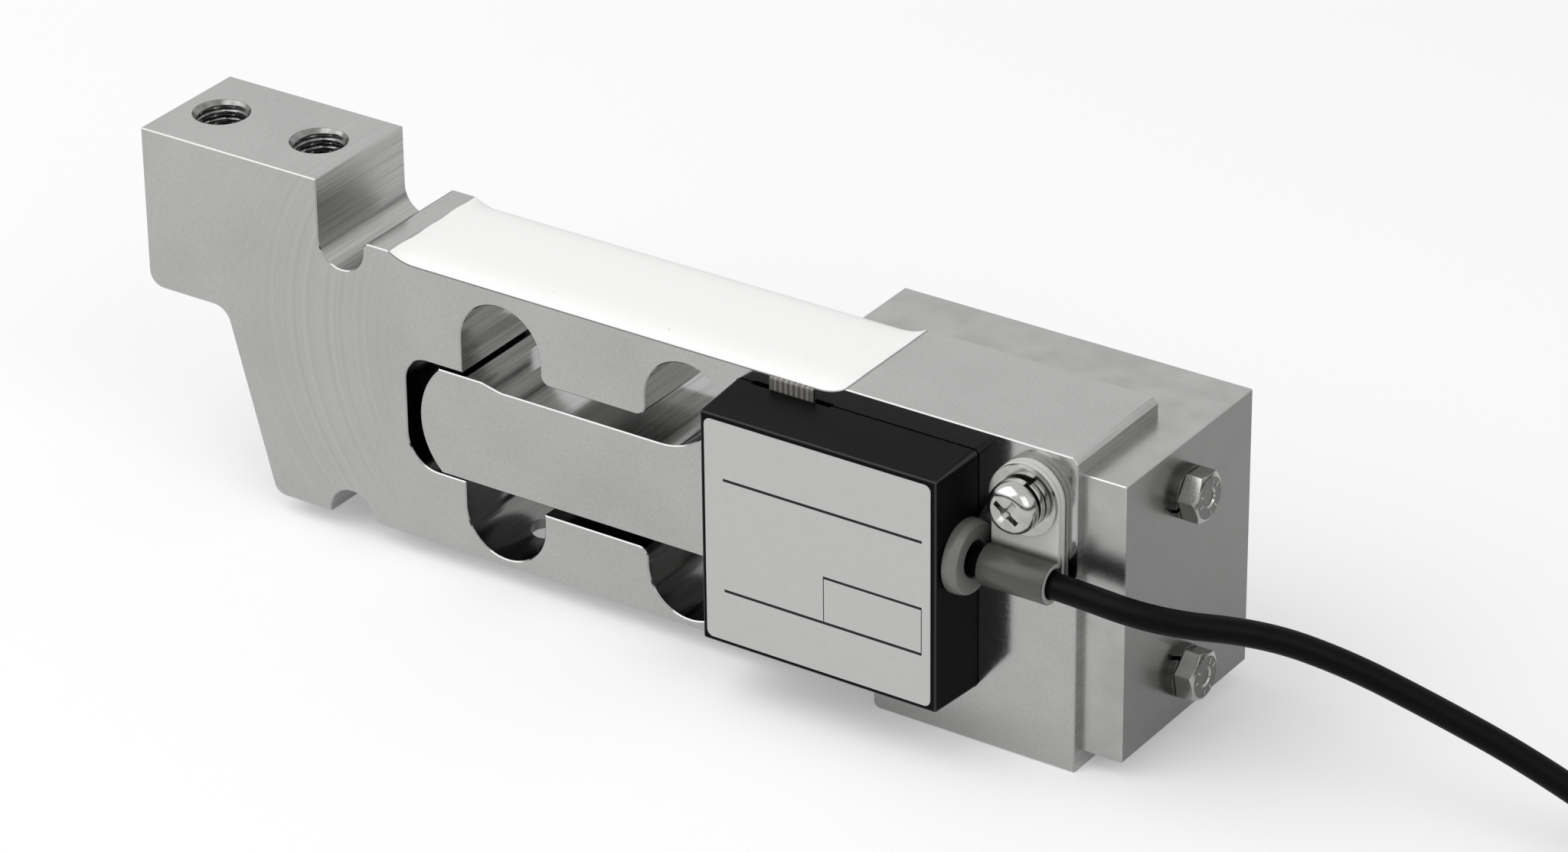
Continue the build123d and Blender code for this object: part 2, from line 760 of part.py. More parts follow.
def cable_conductors():
    """Four cores from the end of the cable's jacket to the board."""
    cores = []
    start_x = cable_route[0][0]
    for i in range(core_count):
        z = cable_height + (i - (core_count - 1) / 2) * (core_diameter + core_gap)
        pad_x = box_x + board_width / 2 - core_pad_inset - core_pad_stagger * (i % 2)
        path = Polyline((start_x, cable_y, z), (pad_x, cable_y, z), (pad_x, board_back_y, z))
        start = Plane(origin=path @ 0, z_dir=path % 0)
        cores.append(sweep(start * Circle(core_diameter / 2), path=path, transition=Transition.RIGHT))
    return cores


def cable_leads():
    """Bare ends of the cores, fanned out on the floor inside the coil."""
    inner = coil_mid_radius - coil_half_width
    start = Pos(coil_x, coil_y - inner + lead_diameter, lead_diameter / 2)
    leads = []
    for i in range(lead_count):
        spread = (i - (lead_count - 1) / 2) * lead_fan_angle
        straight = rod((0, 0, 0), (1, 0, 0), lead_diameter / 2, lead_length)
        leads.append(start * Rot(0, 0, lead_heading + spread) * straight)
    return leads


nodes = {
    "spring_element": spring_element,
    "end_block": end_block,
    "end_bolts": end_bolts,
    "end_bolt_washers": end_bolt_washers,
    "gauge_potting": gauge_potting,
    "strain_gauges": strain_gauges,
    "gauge_terminals": gauge_terminals,
    "gauge_flex_cable": gauge_flex_cable,
    "box_cover": box_cover,
    "box_tape": box_tape,
    "circuit_board": circuit_board,
    "board_screws": board_screws,
    "flex_connector": flex_connector,
    "trim_resistors": trim_resistors,
    "front_label": front_label,
    "cable_bush": cable_bush,
    "cable_clamp": cable_clamp,
    "clamp_flat_washer": clamp_flat_washer,
    "clamp_spring_washer": clamp_spring_washer,
    "clamp_screw": clamp_screw,
    "signal_cable": signal_cable,
    "cable_conductors": cable_conductors,
    "cable_coil": cable_coil,
    "cable_leads": cable_leads,
}

for name, make in nodes.items():
    shape = make()
    if isinstance(shape, list):
        shape = Compound(children=[s.solid() if not isinstance(s, Solid) else s for s in shape])
    export_step(shape, f"parts/{name}.step")
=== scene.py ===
import math

import bmesh
import bpy
from mathutils import Matrix, Vector


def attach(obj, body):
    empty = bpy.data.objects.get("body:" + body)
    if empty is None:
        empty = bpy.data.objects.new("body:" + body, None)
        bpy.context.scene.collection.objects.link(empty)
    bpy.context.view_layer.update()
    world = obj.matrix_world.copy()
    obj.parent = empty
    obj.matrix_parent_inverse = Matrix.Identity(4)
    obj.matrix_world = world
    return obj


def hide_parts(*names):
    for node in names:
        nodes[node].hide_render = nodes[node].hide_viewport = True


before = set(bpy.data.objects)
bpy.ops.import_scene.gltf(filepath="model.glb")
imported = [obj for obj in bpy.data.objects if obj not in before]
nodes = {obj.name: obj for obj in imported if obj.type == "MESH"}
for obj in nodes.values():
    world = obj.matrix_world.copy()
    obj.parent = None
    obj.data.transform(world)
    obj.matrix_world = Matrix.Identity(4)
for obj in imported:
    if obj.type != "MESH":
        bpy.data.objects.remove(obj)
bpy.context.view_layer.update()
MM = 0.001


def linear(colour):
    """An sRGB hex colour as the linear values that Blender's sockets take."""
    channels = [int(colour[i:i + 2], 16) / 255 for i in (1, 3, 5)]
    return tuple(c / 12.92 if c <= 0.04045 else ((c + 0.055) / 1.055) ** 2.4 for c in channels) + (1.0,)


def add(tree, kind, inputs=None, stops=(), **settings):
    """A shader node with its settings. An input that is given a socket is linked, any other is set.

    A colour ramp also takes its stops, each a position and a hex colour.
    """
    made = tree.nodes.new("ShaderNode" + kind)
    for name, value in settings.items():
        setattr(made, name, value)
    for name, value in (inputs or {}).items():
        socket = made.inputs[name]
        if isinstance(value, bpy.types.NodeSocket):
            tree.links.new(value, socket)
        else:
            socket.default_value = value
    for i, (position, colour) in enumerate(stops):
        made.color_ramp.elements[i].position = position
        made.color_ramp.elements[i].color = linear(colour)
    return made


def surface(name):
    """A new material with an empty tree, and that tree."""
    made = bpy.data.materials.new(name)
    made.use_nodes = True
    made.node_tree.nodes.clear()
    return made, made.node_tree


def put(name, data):
    """A new object in the scene."""
    made = bpy.data.objects.new(name, data)
    bpy.context.scene.collection.objects.link(made)
    return made


def piece(name, mesh_or_curve, finish):
    """An object of the load cell that rides on its body, with its material."""
    made = put(name, mesh_or_curve)
    made.data.materials.append(finish)
    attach(made, "root")
    return made


def dress(name, finish):
    """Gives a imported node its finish."""
    node = nodes[name]
    node.data.materials.clear()
    node.data.materials.append(finish)


def closed_mesh(name, points, faces):
    """A mesh from points in millimetres, with equal points joined and its faces turned outwards."""
    mesh = bpy.data.meshes.new(name)
    mesh.from_pydata([[c * MM for c in p] for p in points], [], faces)
    mesh.validate()
    shape = bmesh.new()
    shape.from_mesh(mesh)
    bmesh.ops.remove_doubles(shape, verts=shape.verts, dist=0.001 * MM)
    bmesh.ops.recalc_face_normals(shape, faces=shape.faces)
    shape.to_mesh(mesh)
    shape.free()
    return mesh


def soften(mesh, crease):
    """Shades a mesh smooth, apart from edges that turn by more than the crease angle in degrees."""
    mesh.shade_smooth()
    mesh.set_sharp_from_angle(angle=math.radians(crease))


def mesh_piece(name, points, faces, finish, crease=35):
    """A closed piece from points in millimetres."""
    mesh = closed_mesh(name, points, faces)
    soften(mesh, crease)
    return piece(name, mesh, finish)


def grid_faces(rows, columns, wrap_rows=False, wrap_columns=False, start=0):
    """Quads between points that are stored row by row."""
    faces = []
    for r in range(rows if wrap_rows else rows - 1):
        here, after = start + r * columns, start + (r + 1) % rows * columns
        for c in range(columns if wrap_columns else columns - 1):
            c2 = (c + 1) % columns
            faces.append((here + c, here + c2, after + c2, after + c))
    return faces


def block_faces(start):
    """Faces of a block whose eight points are stored as two rings of four."""
    ends = [tuple(start + k for k in (0, 1, 2, 3)), tuple(start + k for k in (7, 6, 5, 4))]
    return ends + [(start + k, start + (k + 1) % 4, start + (k + 1) % 4 + 4, start + k + 4) for k in range(4)]


def ring_points(rings, turn=0.0):
    """Points about z, ring by ring. A ring is a list of (radius, height) that is spread round the circle."""
    points = []
    for ring in rings:
        for i, (radius, height) in enumerate(ring):
            angle = 2 * math.pi * i / len(ring) + math.radians(turn)
            points.append((radius * math.cos(angle), radius * math.sin(angle), height))
    return points


def turned(profile, steps=72):
    """Points and faces of a closed ring turned about z, from (radius, height) corners in order."""
    points = ring_points([[corner] * steps for corner in profile])
    return points, grid_faces(len(profile), steps, wrap_rows=True, wrap_columns=True)


def capped(rings, top, foot, turn=0.0):
    """Points and faces of a solid about z, from its rings downwards and the heights of its two middles."""
    steps = len(rings[0])
    last = steps * (len(rings) - 1)
    points = ring_points(rings, turn) + [(0, 0, top), (0, 0, foot)]
    faces = grid_faces(len(rings), steps, wrap_columns=True)
    faces += [(last + steps, i, (i + 1) % steps) for i in range(steps)]
    faces += [(last + steps + 1, last + (i + 1) % steps, last + i) for i in range(steps)]
    return points, faces


def round_corner(before, here, after, radius, steps):
    """Points of the arc that rounds a corner between its two neighbours."""
    before, here, after = Vector(before), Vector(here), Vector(after)
    to_before, to_after = before - here, after - here
    cut = min(radius, to_before.length / 2.01, to_after.length / 2.01)
    start, end = here + to_before.normalized() * cut, here + to_after.normalized() * cut
    shares = [k / steps for k in range(steps + 1)]
    return [tuple(start * (1 - t) ** 2 + here * 2 * t * (1 - t) + end * t * t) for t in shares]


def rounded(corners, radius, steps=5):
    """The same closed outline with its corners rounded."""
    out = []
    for i, here in enumerate(corners):
        out += round_corner(corners[i - 1], here, corners[(i + 1) % len(corners)], radius, steps)
    return out


def bent(corners, radius, steps=6):
    """An open path with its inner corners rounded."""
    out = [corners[0]]
    for before, here, after in zip(corners, corners[1:], corners[2:]):
        out += round_corner(before, here, after, radius, steps)
    return out + [corners[-1]]


def off_path(path, i, reach):
    """The step that leads square off a flat path at one of its points, as far as the reach."""
    before, after = Vector(path[max(0, i - 1)]), Vector(path[min(len(path) - 1, i + 1)])
    along = (after - before).normalized()
    return Vector((along.y, -along.x)) * reach


def swung(x, y, angle):
    """A flat point swung about the origin."""
    return x * math.cos(angle) - y * math.sin(angle), x * math.sin(angle) + y * math.cos(angle)


def placed(points, x_axis, y_axis, z_axis, origin):
    """Points moved into the frame of three axes at an origin."""
    axes = [Vector(a) for a in (x_axis, y_axis, z_axis)]
    return [tuple(Vector(origin) + axes[0] * p[0] + axes[1] * p[1] + axes[2] * p[2]) for p in points]


def eased(t):
    """A step from 0 to 1 with soft ends."""
    t = min(1.0, max(0.0, t))
    return t * t * (3 - 2 * t)


# Axes of pieces that are turned about the beam's length, and of those that stand out of its front face
ALONG_BEAM = ((0, 1, 0), (0, 0, 1), (1, 0, 0))
OUT_OF_FRONT = ((1, 0, 0), (0, 0, 1), (0, -1, 0))

# Camera, solved from the straight edges of the beam and the box
camera_data = bpy.data.cameras.new("product_camera")
camera_data.sensor_width = 36
camera_data.lens = 145.41
camera_data.clip_end = 20
camera = put("product_camera", camera_data)
camera_place = Vector((475.76, -770.34, 538.99)) * MM
camera_right = Vector((0.831174, 0.555929, -0.009645))
camera_up = Vector((-0.255870, 0.397840, 0.881053))
camera_back = Vector((0.493640, -0.729840, 0.472920))
camera_turn = Matrix((camera_right, camera_up, camera_back)).transposed().to_4x4()
camera.matrix_world = Matrix.Translation(camera_place) @ camera_turn
bpy.context.scene.camera = camera

# Signal cable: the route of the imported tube, then nearly five turns of spare cable and its cut end
CABLE_DIAMETER = 4.5
CABLE_ROUTE = [
    (1.0, -16.1, 36.5),
    (18.5, -16.1, 36.4),
    (36.2, -15.3, 34.8),
    (49.8, -5.3, 32.4),
    (61.7, 1.0, 27.6),
    (75.6, 4.7, 22.0),
    (90.1, 7.3, 16.5),
    (105.1, 8.6, 10.2),
    (117.5, 9.3, 4.6),
    (128.5, 9.7, 2.3),
]
CABLE_AXIS = CABLE_ROUTE[0][1:]
COIL_CENTRE = (127.4, 39.2)
COIL_POINTS = 18
FLOOR_LAYER = CABLE_DIAMETER / 2
TOP_LAYER = FLOOR_LAYER + CABLE_DIAMETER * math.sqrt(3) / 2
# Each turn's radius and height, and the share of the turn after which it moves over to the next one
COIL_TURNS = [
    (29.5, FLOOR_LAYER, 0.84),
    (25.0, FLOOR_LAYER, 0.70),
    (27.25, TOP_LAYER, 0.84),
    (22.75, TOP_LAYER, 0.70),
    (20.5, FLOOR_LAYER, 0.62),
]
CROSSING = 0.15
ENTRY_ANGLE = math.atan2(CABLE_ROUTE[-1][1] - COIL_CENTRE[1], CABLE_ROUTE[-1][0] - COIL_CENTRE[0])
# The end leaves the last turn in a tighter arc, towards the middle of the coil
TAIL_RADIUS = 15.0
TAIL_TURN = math.radians(155)
TAIL_POINTS = 7


def coil_points():
    """Control points of the wound cable, each turn a circle that crosses over to the next one."""
    points = []
    reach = 1 / math.cos(math.pi / COIL_POINTS)
    for turn, (radius, height, cross_at) in enumerate(COIL_TURNS):
        last = turn == len(COIL_TURNS) - 1
        after = COIL_TURNS[turn if last else turn + 1]
        for i in range(1, COIL_POINTS + 1):
            share = i / COIL_POINTS
            if last and share > cross_at:
                break
            moved = eased((share - cross_at) / CROSSING)
            r = radius + (after[0] - radius) * moved
            z = height + (after[1] - height) * moved
            angle = ENTRY_ANGLE + 2 * math.pi * share
            points.append((
                COIL_CENTRE[0] + r * reach * math.cos(angle),
                COIL_CENTRE[1] + r * reach * math.sin(angle),
                z,
            ))
    return points


def tail_points():
    """Control points of the cable's end, on a tighter arc that starts where the last turn is left."""
    radius, height, cross_at = COIL_TURNS[-1]
    steps = math.floor(cross_at * COIL_POINTS)
    angle = ENTRY_ANGLE + 2 * math.pi * steps / COIL_POINTS
    inward = 1 - TAIL_RADIUS / radius
    middle = [c + radius * inward * t for c, t in zip(COIL_CENTRE, (math.cos(angle), math.sin(angle)))]
    reach = TAIL_RADIUS / math.cos(TAIL_TURN / TAIL_POINTS / 2)
    points = []
    for i in range(1, TAIL_POINTS + 1):
        a = angle + TAIL_TURN * i / TAIL_POINTS
        points.append((middle[0] + reach * math.cos(a), middle[1] + reach * math.sin(a), height))
    return points


cable_points = CABLE_ROUTE + coil_points() + tail_points()
cable_curve = bpy.data.curves.new("signal_cord", "CURVE")
cable_curve.dimensions = "3D"
cable_curve.bevel_depth = CABLE_DIAMETER / 2 * MM
cable_curve.bevel_resolution = 8
cable_curve.resolution_u = 10
cable_curve.use_fill_caps = True
spline = cable_curve.splines.new("NURBS")
spline.points.add(len(cable_points) - 1)
for point, place in zip(spline.points, cable_points):
    point.co = (*(c * MM for c in place), 1)
spline.order_u = 3
spline.use_endpoint_u = True

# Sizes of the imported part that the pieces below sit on, in millimetres
FRONT_Y = -12.5
BACK_Y = 12.5
BODY_TOP = 58.2
LOAD_TOP = 67.7
MOUNT_HOLES = [(-162.5, LOAD_TOP, 1), (-141.25, LOAD_TOP, 1), (-10.625, 0.0, -1), (10.625, 0.0, -1)]
MOUNT_DEPTH = 20.0
BORE_RADIUS = 4.25
COUNTERSINK_RADIUS = 5.2
COLUMN_X = -134
WINDOW_X = -81.5
WINDOW_HALF_LENGTH = 34.5
RECESS = (-117.7, -24.5)
RECESS_FLOOR = 56.5
RECESS_CUTTER = 10.0
FLEX_X = -35.1
LABEL_FRONT_Y = -24.35
BUSH_AXIS = (-16.7, 37.1)
CLAMP_X = 11.0
CLAMP_SCREW_Z = 49.6
SCREW_SEAT_Y = -17.6
SPLIT_WASHER_FOOT_Y = -15.64
END_BOLT_Y = 7.5
END_BOLT_SEAT_X = 28.8
# Height of each end bolt, and how far its head is turned
END_BOLTS = [(12.4, 12.0), (45.8, 24.0)]


def metal(name, tones, rough, blotch_mm, grain_mm, relief, end_colour=None):
    """A bare metal whose colour drifts in soft blotches and whose fine tool marks change its roughness.

    The real marks are finer than a pixel, so they are drawn some tenths of a millimetre wide to show. Faces
    square to x, such as an end face or the top of a bolt's head, may be given another colour; on the block's
    end face it is painted shade.
    """
    made, tree = surface(name)
    coords = add(tree, "TexCoord")
    drift = add(tree, "TexNoise", {
        "Vector": coords.outputs["Object"], "Scale": 1000 / blotch_mm, "Detail": 3.0,
    })
    tone = add(tree, "ValToRGB", {"Fac": drift.outputs["Fac"]}, stops=[(0.35, tones[0]), (0.65, tones[1])])
    grain = add(tree, "TexNoise", {
        "Vector": coords.outputs["Object"], "Scale": 1000 / grain_mm, "Detail": 3.0,
    })
    dull = add(tree, "MapRange", {
        "Value": grain.outputs["Fac"],
        "From Min": 0.3,
        "From Max": 0.7,
        "To Min": rough[0],
        "To Max": rough[1],
    })
    colour = tone.outputs["Color"]
    # Faces square to x are mixed towards the end colour, which on the block's end face is painted shade
    if end_colour:
        facing = add(tree, "SeparateXYZ", {"Vector": coords.outputs["Normal"]})
        endwise = add(tree, "Math", {0: facing.outputs["X"]}, operation="ABSOLUTE")
        on_end = add(tree, "MapRange", {
            "Value": endwise.outputs[0], "From Min": 0.9, "From Max": 0.98, "To Max": 0.85,
        })
        toned = add(tree, "Mix", {
            "Factor": on_end.outputs["Result"], "A": colour, "B": linear(end_colour),
        }, data_type="RGBA")
        colour = toned.outputs["Result"]
    edge = add(tree, "Bevel", {"Radius": 0.12 * MM}, samples=4)
    bump = add(tree, "Bump", {
        "Height": grain.outputs["Fac"],
        "Strength": relief,
        "Distance": 0.01 * MM,
        "Normal": edge.outputs["Normal"],
    })
    shader = add(tree, "BsdfPrincipled", {
        "Base Color": colour,
        "Metallic": 1.0,
        "Roughness": dull.outputs["Result"],
        "Normal": bump.outputs["Normal"],
    })
    add(tree, "OutputMaterial", {"Surface": shader.outputs["BSDF"]})
    return made


def off_middle(tree, coordinate, middle):
    """How far a coordinate lies from a middle, on either side of it."""
    offset = add(tree, "Math", {0: coordinate, 1: middle}, operation="SUBTRACT")
    return add(tree, "Math", {0: offset.outputs[0]}, operation="ABSOLUTE").outputs[0]


# Milled aluminium alloy, machined on every face and left bare. The wide faces are fine ground and even. The
# cut faces between them keep the cutter's lines, which run through the thickness. The broken edges catch the
# light in small beads, where the deburring tool chattered; these beads are a painted highlight, with darker
# dashes painted between the glints.
MILL_RADIUS = 48
MILL_HEIGHT = 40
MILL_FEED = 1.0
GROUND_FROM_Z = 57
BEAD_PITCH = 0.45


def mill_arcs(tree, place):
    """The arcs that a wide face mill left about a feed apart, and how clearly the column shows them."""
    above = add(tree, "Math", {0: place.outputs["Z"], 1: MILL_HEIGHT * MM}, operation="SUBTRACT")
    squared = add(tree, "Math", {0: above.outputs[0], 1: 2.0}, operation="POWER")
    chord = add(tree, "Math", {0: (MILL_RADIUS * MM) ** 2, 1: squared.outputs[0]}, operation="SUBTRACT")
    chord = add(tree, "Math", {0: chord.outputs[0]}, operation="SQRT")
    swept = add(tree, "Math", {0: place.outputs["X"], 1: chord.outputs[0]}, operation="ADD")
    arcs = add(tree, "TexNoise", {
        "W": swept.outputs[0], "Scale": 1000 / MILL_FEED, "Detail": 2.0,
    }, noise_dimensions="1D")
    shown = add(tree, "MapRange", {
        "Value": off_middle(tree, place.outputs["X"], COLUMN_X * MM),
        "From Min": 4 * MM,
        "From Max": 20 * MM,
        "To Min": 0.55,
        "To Max": 0.0,
    })
    return arcs.outputs["Fac"], shown.outputs["Result"]


def painted_window_shade(tree, place, on_milled, in_window):
    """How much painted shade darkens the milled faces: most low in the window, and none under its web."""
    depth = add(tree, "MapRange", {
        "Value": place.outputs["Z"], "From Min": 15 * MM, "From Max": 36 * MM, "To Min": 0.8, "To Max": 0.0,
    })
    above_web = add(tree, "Math", {0: place.outputs["Z"], 1: 4 * MM}, operation="GREATER_THAN")
    film = depth.outputs["Result"]
    for mask in (in_window, above_web.outputs[0], on_milled):
        film = add(tree, "Math", {0: film, 1: mask}, operation="MULTIPLY").outputs[0]
    return film


def shade_between_glints(tree, coords, on_rim):
    """How dark a broken edge is painted between its beads, so that its highlight breaks into glints."""
    # A diagonal band repeats after tau / 10 at a scale of one
    beads = add(tree, "TexWave", {
        "Vector": coords.outputs["Object"], "Scale": math.tau / 10 / (BEAD_PITCH * MM), "Distortion": 0.8,
    }, bands_direction="DIAGONAL")
    glint_gap = add(tree, "MapRange", {
        "Value": beads.outputs["Fac"], "From Min": 0.15, "From Max": 0.5, "To Min": 1.0, "To Max": 0.0,
    })
    shade = add(tree, "Math", {0: on_rim, 1: glint_gap.outputs["Result"]}, operation="MULTIPLY", use_clamp=True)
    return shade.outputs[0]


def milled_aluminium():
    """The beam's metal: ground wide faces, milled faces between them, and beaded edges."""
    made, tree = surface("milled_aluminium")
    coords = add(tree, "TexCoord")
    place = add(tree, "SeparateXYZ", {"Vector": coords.outputs["Object"]})
    facing = add(tree, "SeparateXYZ", {"Vector": coords.outputs["Normal"]})
    sideways = add(tree, "Math", {0: facing.outputs["Y"]}, operation="ABSOLUTE")
    on_cut = add(tree, "MapRange", {
        "Value": sideways.outputs[0], "From Min": 0.2, "From Max": 0.6, "To Min": 1.0, "To Max": 0.0,
    })
    not_wide = add(tree, "MapRange", {
        "Value": sideways.outputs[0], "From Min": 0.8, "From Max": 0.9, "To Min": 1.0, "To Max": 0.0,
    })
    on_rim = add(tree, "Math", {
        0: not_wide.outputs["Result"], 1: on_cut.outputs["Result"],
    }, operation="SUBTRACT")

    # Wide faces: grit, drawn coarse enough to show, over a slow drift of tone, and arcs on the column
    drift = add(tree, "TexNoise", {"Vector": coords.outputs["Object"], "Scale": 1000 / 18, "Detail": 3.0})
    grit = add(tree, "TexNoise", {"Vector": coords.outputs["Object"], "Scale": 1000 / 0.6, "Detail": 3.0})
    cloud = add(tree, "Mix", {
        "Factor": 0.5, "A": drift.outputs["Fac"], "B": grit.outputs["Fac"],
    }, data_type="FLOAT")
    arcs, shown = mill_arcs(tree, place)
    cloud = add(tree, "Mix", {"Factor": shown, "A": cloud.outputs["Result"], "B": arcs}, data_type="FLOAT")
    tone = add(tree, "ValToRGB", {
        "Fac": cloud.outputs["Result"],
    }, stops=[(0.34, "#A6A6A5"), (0.66, "#B2B2B1")])

    # Cut faces: streaks through the thickness, as coarse as they need to show, and none on the ground tops
    through = add(tree, "Mapping", {
        "Vector": coords.outputs["Object"], "Scale": (1000 / 0.5, 1000 / 25, 1000 / 0.5),
    })
    lines = add(tree, "TexNoise", {"Vector": through.outputs["Vector"], "Scale": 1.0, "Detail": 3.0})
    upward = add(tree, "Math", {0: facing.outputs["Z"], 1: 0.95}, operation="GREATER_THAN")
    high = add(tree, "Math", {0: place.outputs["Z"], 1: GROUND_FROM_Z * MM}, operation="GREATER_THAN")
    ground_top = add(tree, "Math", {0: upward.outputs[0], 1: high.outputs[0]}, operation="MULTIPLY")
    on_milled = add(tree, "Math", {
        0: on_cut.outputs["Result"], 1: ground_top.outputs[0],
    }, operation="SUBTRACT", use_clamp=True)
    streaks = add(tree, "ValToRGB", {
        "Fac": lines.outputs["Fac"],
    }, stops=[(0.38, "#A0A09F"), (0.6, "#B2B2B1")])
    colour = add(tree, "Mix", {
        "Factor": on_milled.outputs[0], "A": tone.outputs["Color"], "B": streaks.outputs["Color"],
    }, data_type="RGBA")
    in_window = add(tree, "Math", {
        0: off_middle(tree, place.outputs["X"], WINDOW_X * MM), 1: WINDOW_HALF_LENGTH * MM,
    }, operation="LESS_THAN")
    # Painted shade: the milled faces low in the window are painted darker, where shade falls inside it
    colour = add(tree, "Mix", {
        "Factor": painted_window_shade(tree, place, on_milled.outputs[0], in_window.outputs[0]),
        "A": colour.outputs["Result"],
        "B": linear("#5E5E5D"),
    }, data_type="RGBA")
    # Painted highlight: the broken edges are painted darker between their beads, so that their glints show as
    # beads
    colour = add(tree, "Mix", {
        "Factor": shade_between_glints(tree, coords, on_rim.outputs[0]),
        "A": colour.outputs["Result"],
        "B": linear("#808080"),
    }, data_type="RGBA")

    # Outside the window the milled faces are rougher, so that they mirror only in broad bands
    outside = add(tree, "Math", {
        0: on_milled.outputs[0], 1: in_window.outputs[0],
    }, operation="SUBTRACT", use_clamp=True)
    least = add(tree, "MapRange", {"Value": outside.outputs[0], "To Min": 0.11, "To Max": 0.32})
    most = add(tree, "MapRange", {"Value": outside.outputs[0], "To Min": 0.17, "To Max": 0.42})
    marks = add(tree, "Mix", {
        "Factor": on_cut.outputs["Result"], "A": grit.outputs["Fac"], "B": lines.outputs["Fac"],
    }, data_type="FLOAT")
    dull = add(tree, "MapRange", {
        "Value": marks.outputs["Result"],
        "From Min": 0.3,
        "From Max": 0.7,
        "To Min": least.outputs["Result"],
        "To Max": most.outputs["Result"],
    })
    deep = add(tree, "MapRange", {"Value": on_cut.outputs["Result"], "To Min": 0.04, "To Max": 0.3})
    bump = add(tree, "Bump", {
        "Height": marks.outputs["Result"], "Strength": deep.outputs["Result"], "Distance": 0.01 * MM,
    })
    shader = add(tree, "BsdfPrincipled", {
        "Base Color": colour.outputs["Result"],
        "Metallic": 1.0,
        "Roughness": dull.outputs["Result"],
        "Normal": bump.outputs["Normal"],
    })
    add(tree, "OutputMaterial", {"Surface": shader.outputs["BSDF"]})
    return made


beam_finish = milled_aluminium()
# The same alloy milled as bar stock: a little duller, with painted shade darkening its end face
block_finish = metal("satin_aluminium", ("#A4A4A3", "#AEAEAD"), (0.26, 0.32), 6, 0.25, 0.015, "#727271")
# The same alloy where a tap has cut it, painted darker all over as shade inside the bores; the crests are
# left to catch the light
tapped_finish = metal("tapped_aluminium", ("#6E6E6D", "#8A8A89"), (0.16, 0.3), 1.5, 0.3, 0.2)
# Stainless steel screws with a plain rolled skin, darker on top of the head
bolt_finish = metal("stainless_steel", ("#A0A09E", "#ACACAA"), (0.16, 0.26), 2, 0.4, 0.08, "#4A4A49")
# Spring steel washers, coloured a darker grey than the bolts
spring_finish = metal("hardened_spring_steel", ("#5E5E5C", "#6A6A68"), (0.25, 0.4), 2, 0.2, 0.2)
# Bright zinc plate over steel, nearly a mirror
plated_finish = metal("bright_zinc_plate", ("#A8A8A6", "#B6B6B4"), (0.14, 0.22), 2, 0.3, 0.06)


# Threads of the four mounting holes, whose crest and flank are shares of half the pitch
THREAD_PITCH = 1.5
THREAD_ROOT_RADIUS = 5.0
THREAD_CREST = 0.22
THREAD_FLANK = 0.62
THREAD_START = 0.25
THREAD_RUN_IN = 0.6
ROWS_PER_PITCH = 10


def beam_with_wide_bores():
    """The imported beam's mesh with room for threaded walls in its bores, and the rims of those bores.

    A rim is a list of the angles at which a countersink's corners lie in the face.
    """
    touching, lip, room = 0.02, 0.3, 0.5
    mesh = nodes["spring_element"].data.copy()
    rims = []
    for x, face_z, way in MOUNT_HOLES:
        rim = set()
        for vertex in mesh.vertices:
            dx, dy = vertex.co.x / MM - x, vertex.co.y / MM
            reach = math.hypot(dx, dy)
            depth = (face_z - vertex.co.z / MM) * way
            if abs(depth) < touching and abs(reach - COUNTERSINK_RADIUS) < touching:
                rim.add(round(math.atan2(dy, dx), 4))
            if reach < COUNTERSINK_RADIUS - lip and lip < depth < MOUNT_DEPTH + room:
                grow = (COUNTERSINK_RADIUS + room) / reach
                vertex.co.x, vertex.co.y = (x + dx * grow) * MM, dy * grow * MM
        rims.append(sorted(rim))
    mesh.materials.clear()
    return mesh, rims


def thread_wall(x, face_z, way, rim):
    """Points and faces of a sleeve that lines a bore: a countersink, then a thread.

    Its mouth has the corners of the rim of the beam's own countersink, so that no gap shows between them.
    """
    taper = 0.06
    angles, mouth = [], []
    for here, after in zip(rim, rim[1:] + [rim[0] + 2 * math.pi]):
        half = (after - here) / 2
        angles += [here, here + half]
        mouth += [COUNTERSINK_RADIUS, COUNTERSINK_RADIUS * math.cos(half)]

    def point(radius, angle, depth):
        return x + radius * math.cos(angle), radius * math.sin(angle), face_z - depth * way

    rows = round(MOUNT_DEPTH / THREAD_PITCH * ROWS_PER_PITCH)
    points = []
    for row in range(rows + 1):
        depth = MOUNT_DEPTH * row / rows
        grown = eased((depth - THREAD_START) / THREAD_RUN_IN)
        for angle, edge in zip(angles, mouth):
            share = (depth / THREAD_PITCH - angle * way / (2 * math.pi)) % 1.0
            slope = min(share, 1 - share) / 0.5
            groove = min(1.0, max(0.0, (slope - THREAD_CREST) / THREAD_FLANK)) * grown
            radius = max(edge - depth, BORE_RADIUS + (THREAD_ROOT_RADIUS - BORE_RADIUS) * groove)
            points.append(point(radius, angle, depth))
    points += [point(edge - taper, angle, MOUNT_DEPTH) for angle, edge in zip(angles, mouth)]
    return points, grid_faces(rows + 2, len(angles), wrap_rows=True, wrap_columns=True)


beam_mesh, bore_rims = beam_with_wide_bores()
beam = piece("beam", beam_mesh, beam_finish)
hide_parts("spring_element")
for number, (hole, rim) in enumerate(zip(MOUNT_HOLES, bore_rims), 1):
    points, faces = thread_wall(*hole, rim)
    mesh_piece("thread_wall_%d" % number, points, faces, tapped_finish, crease=30)
dress("end_block", block_finish)

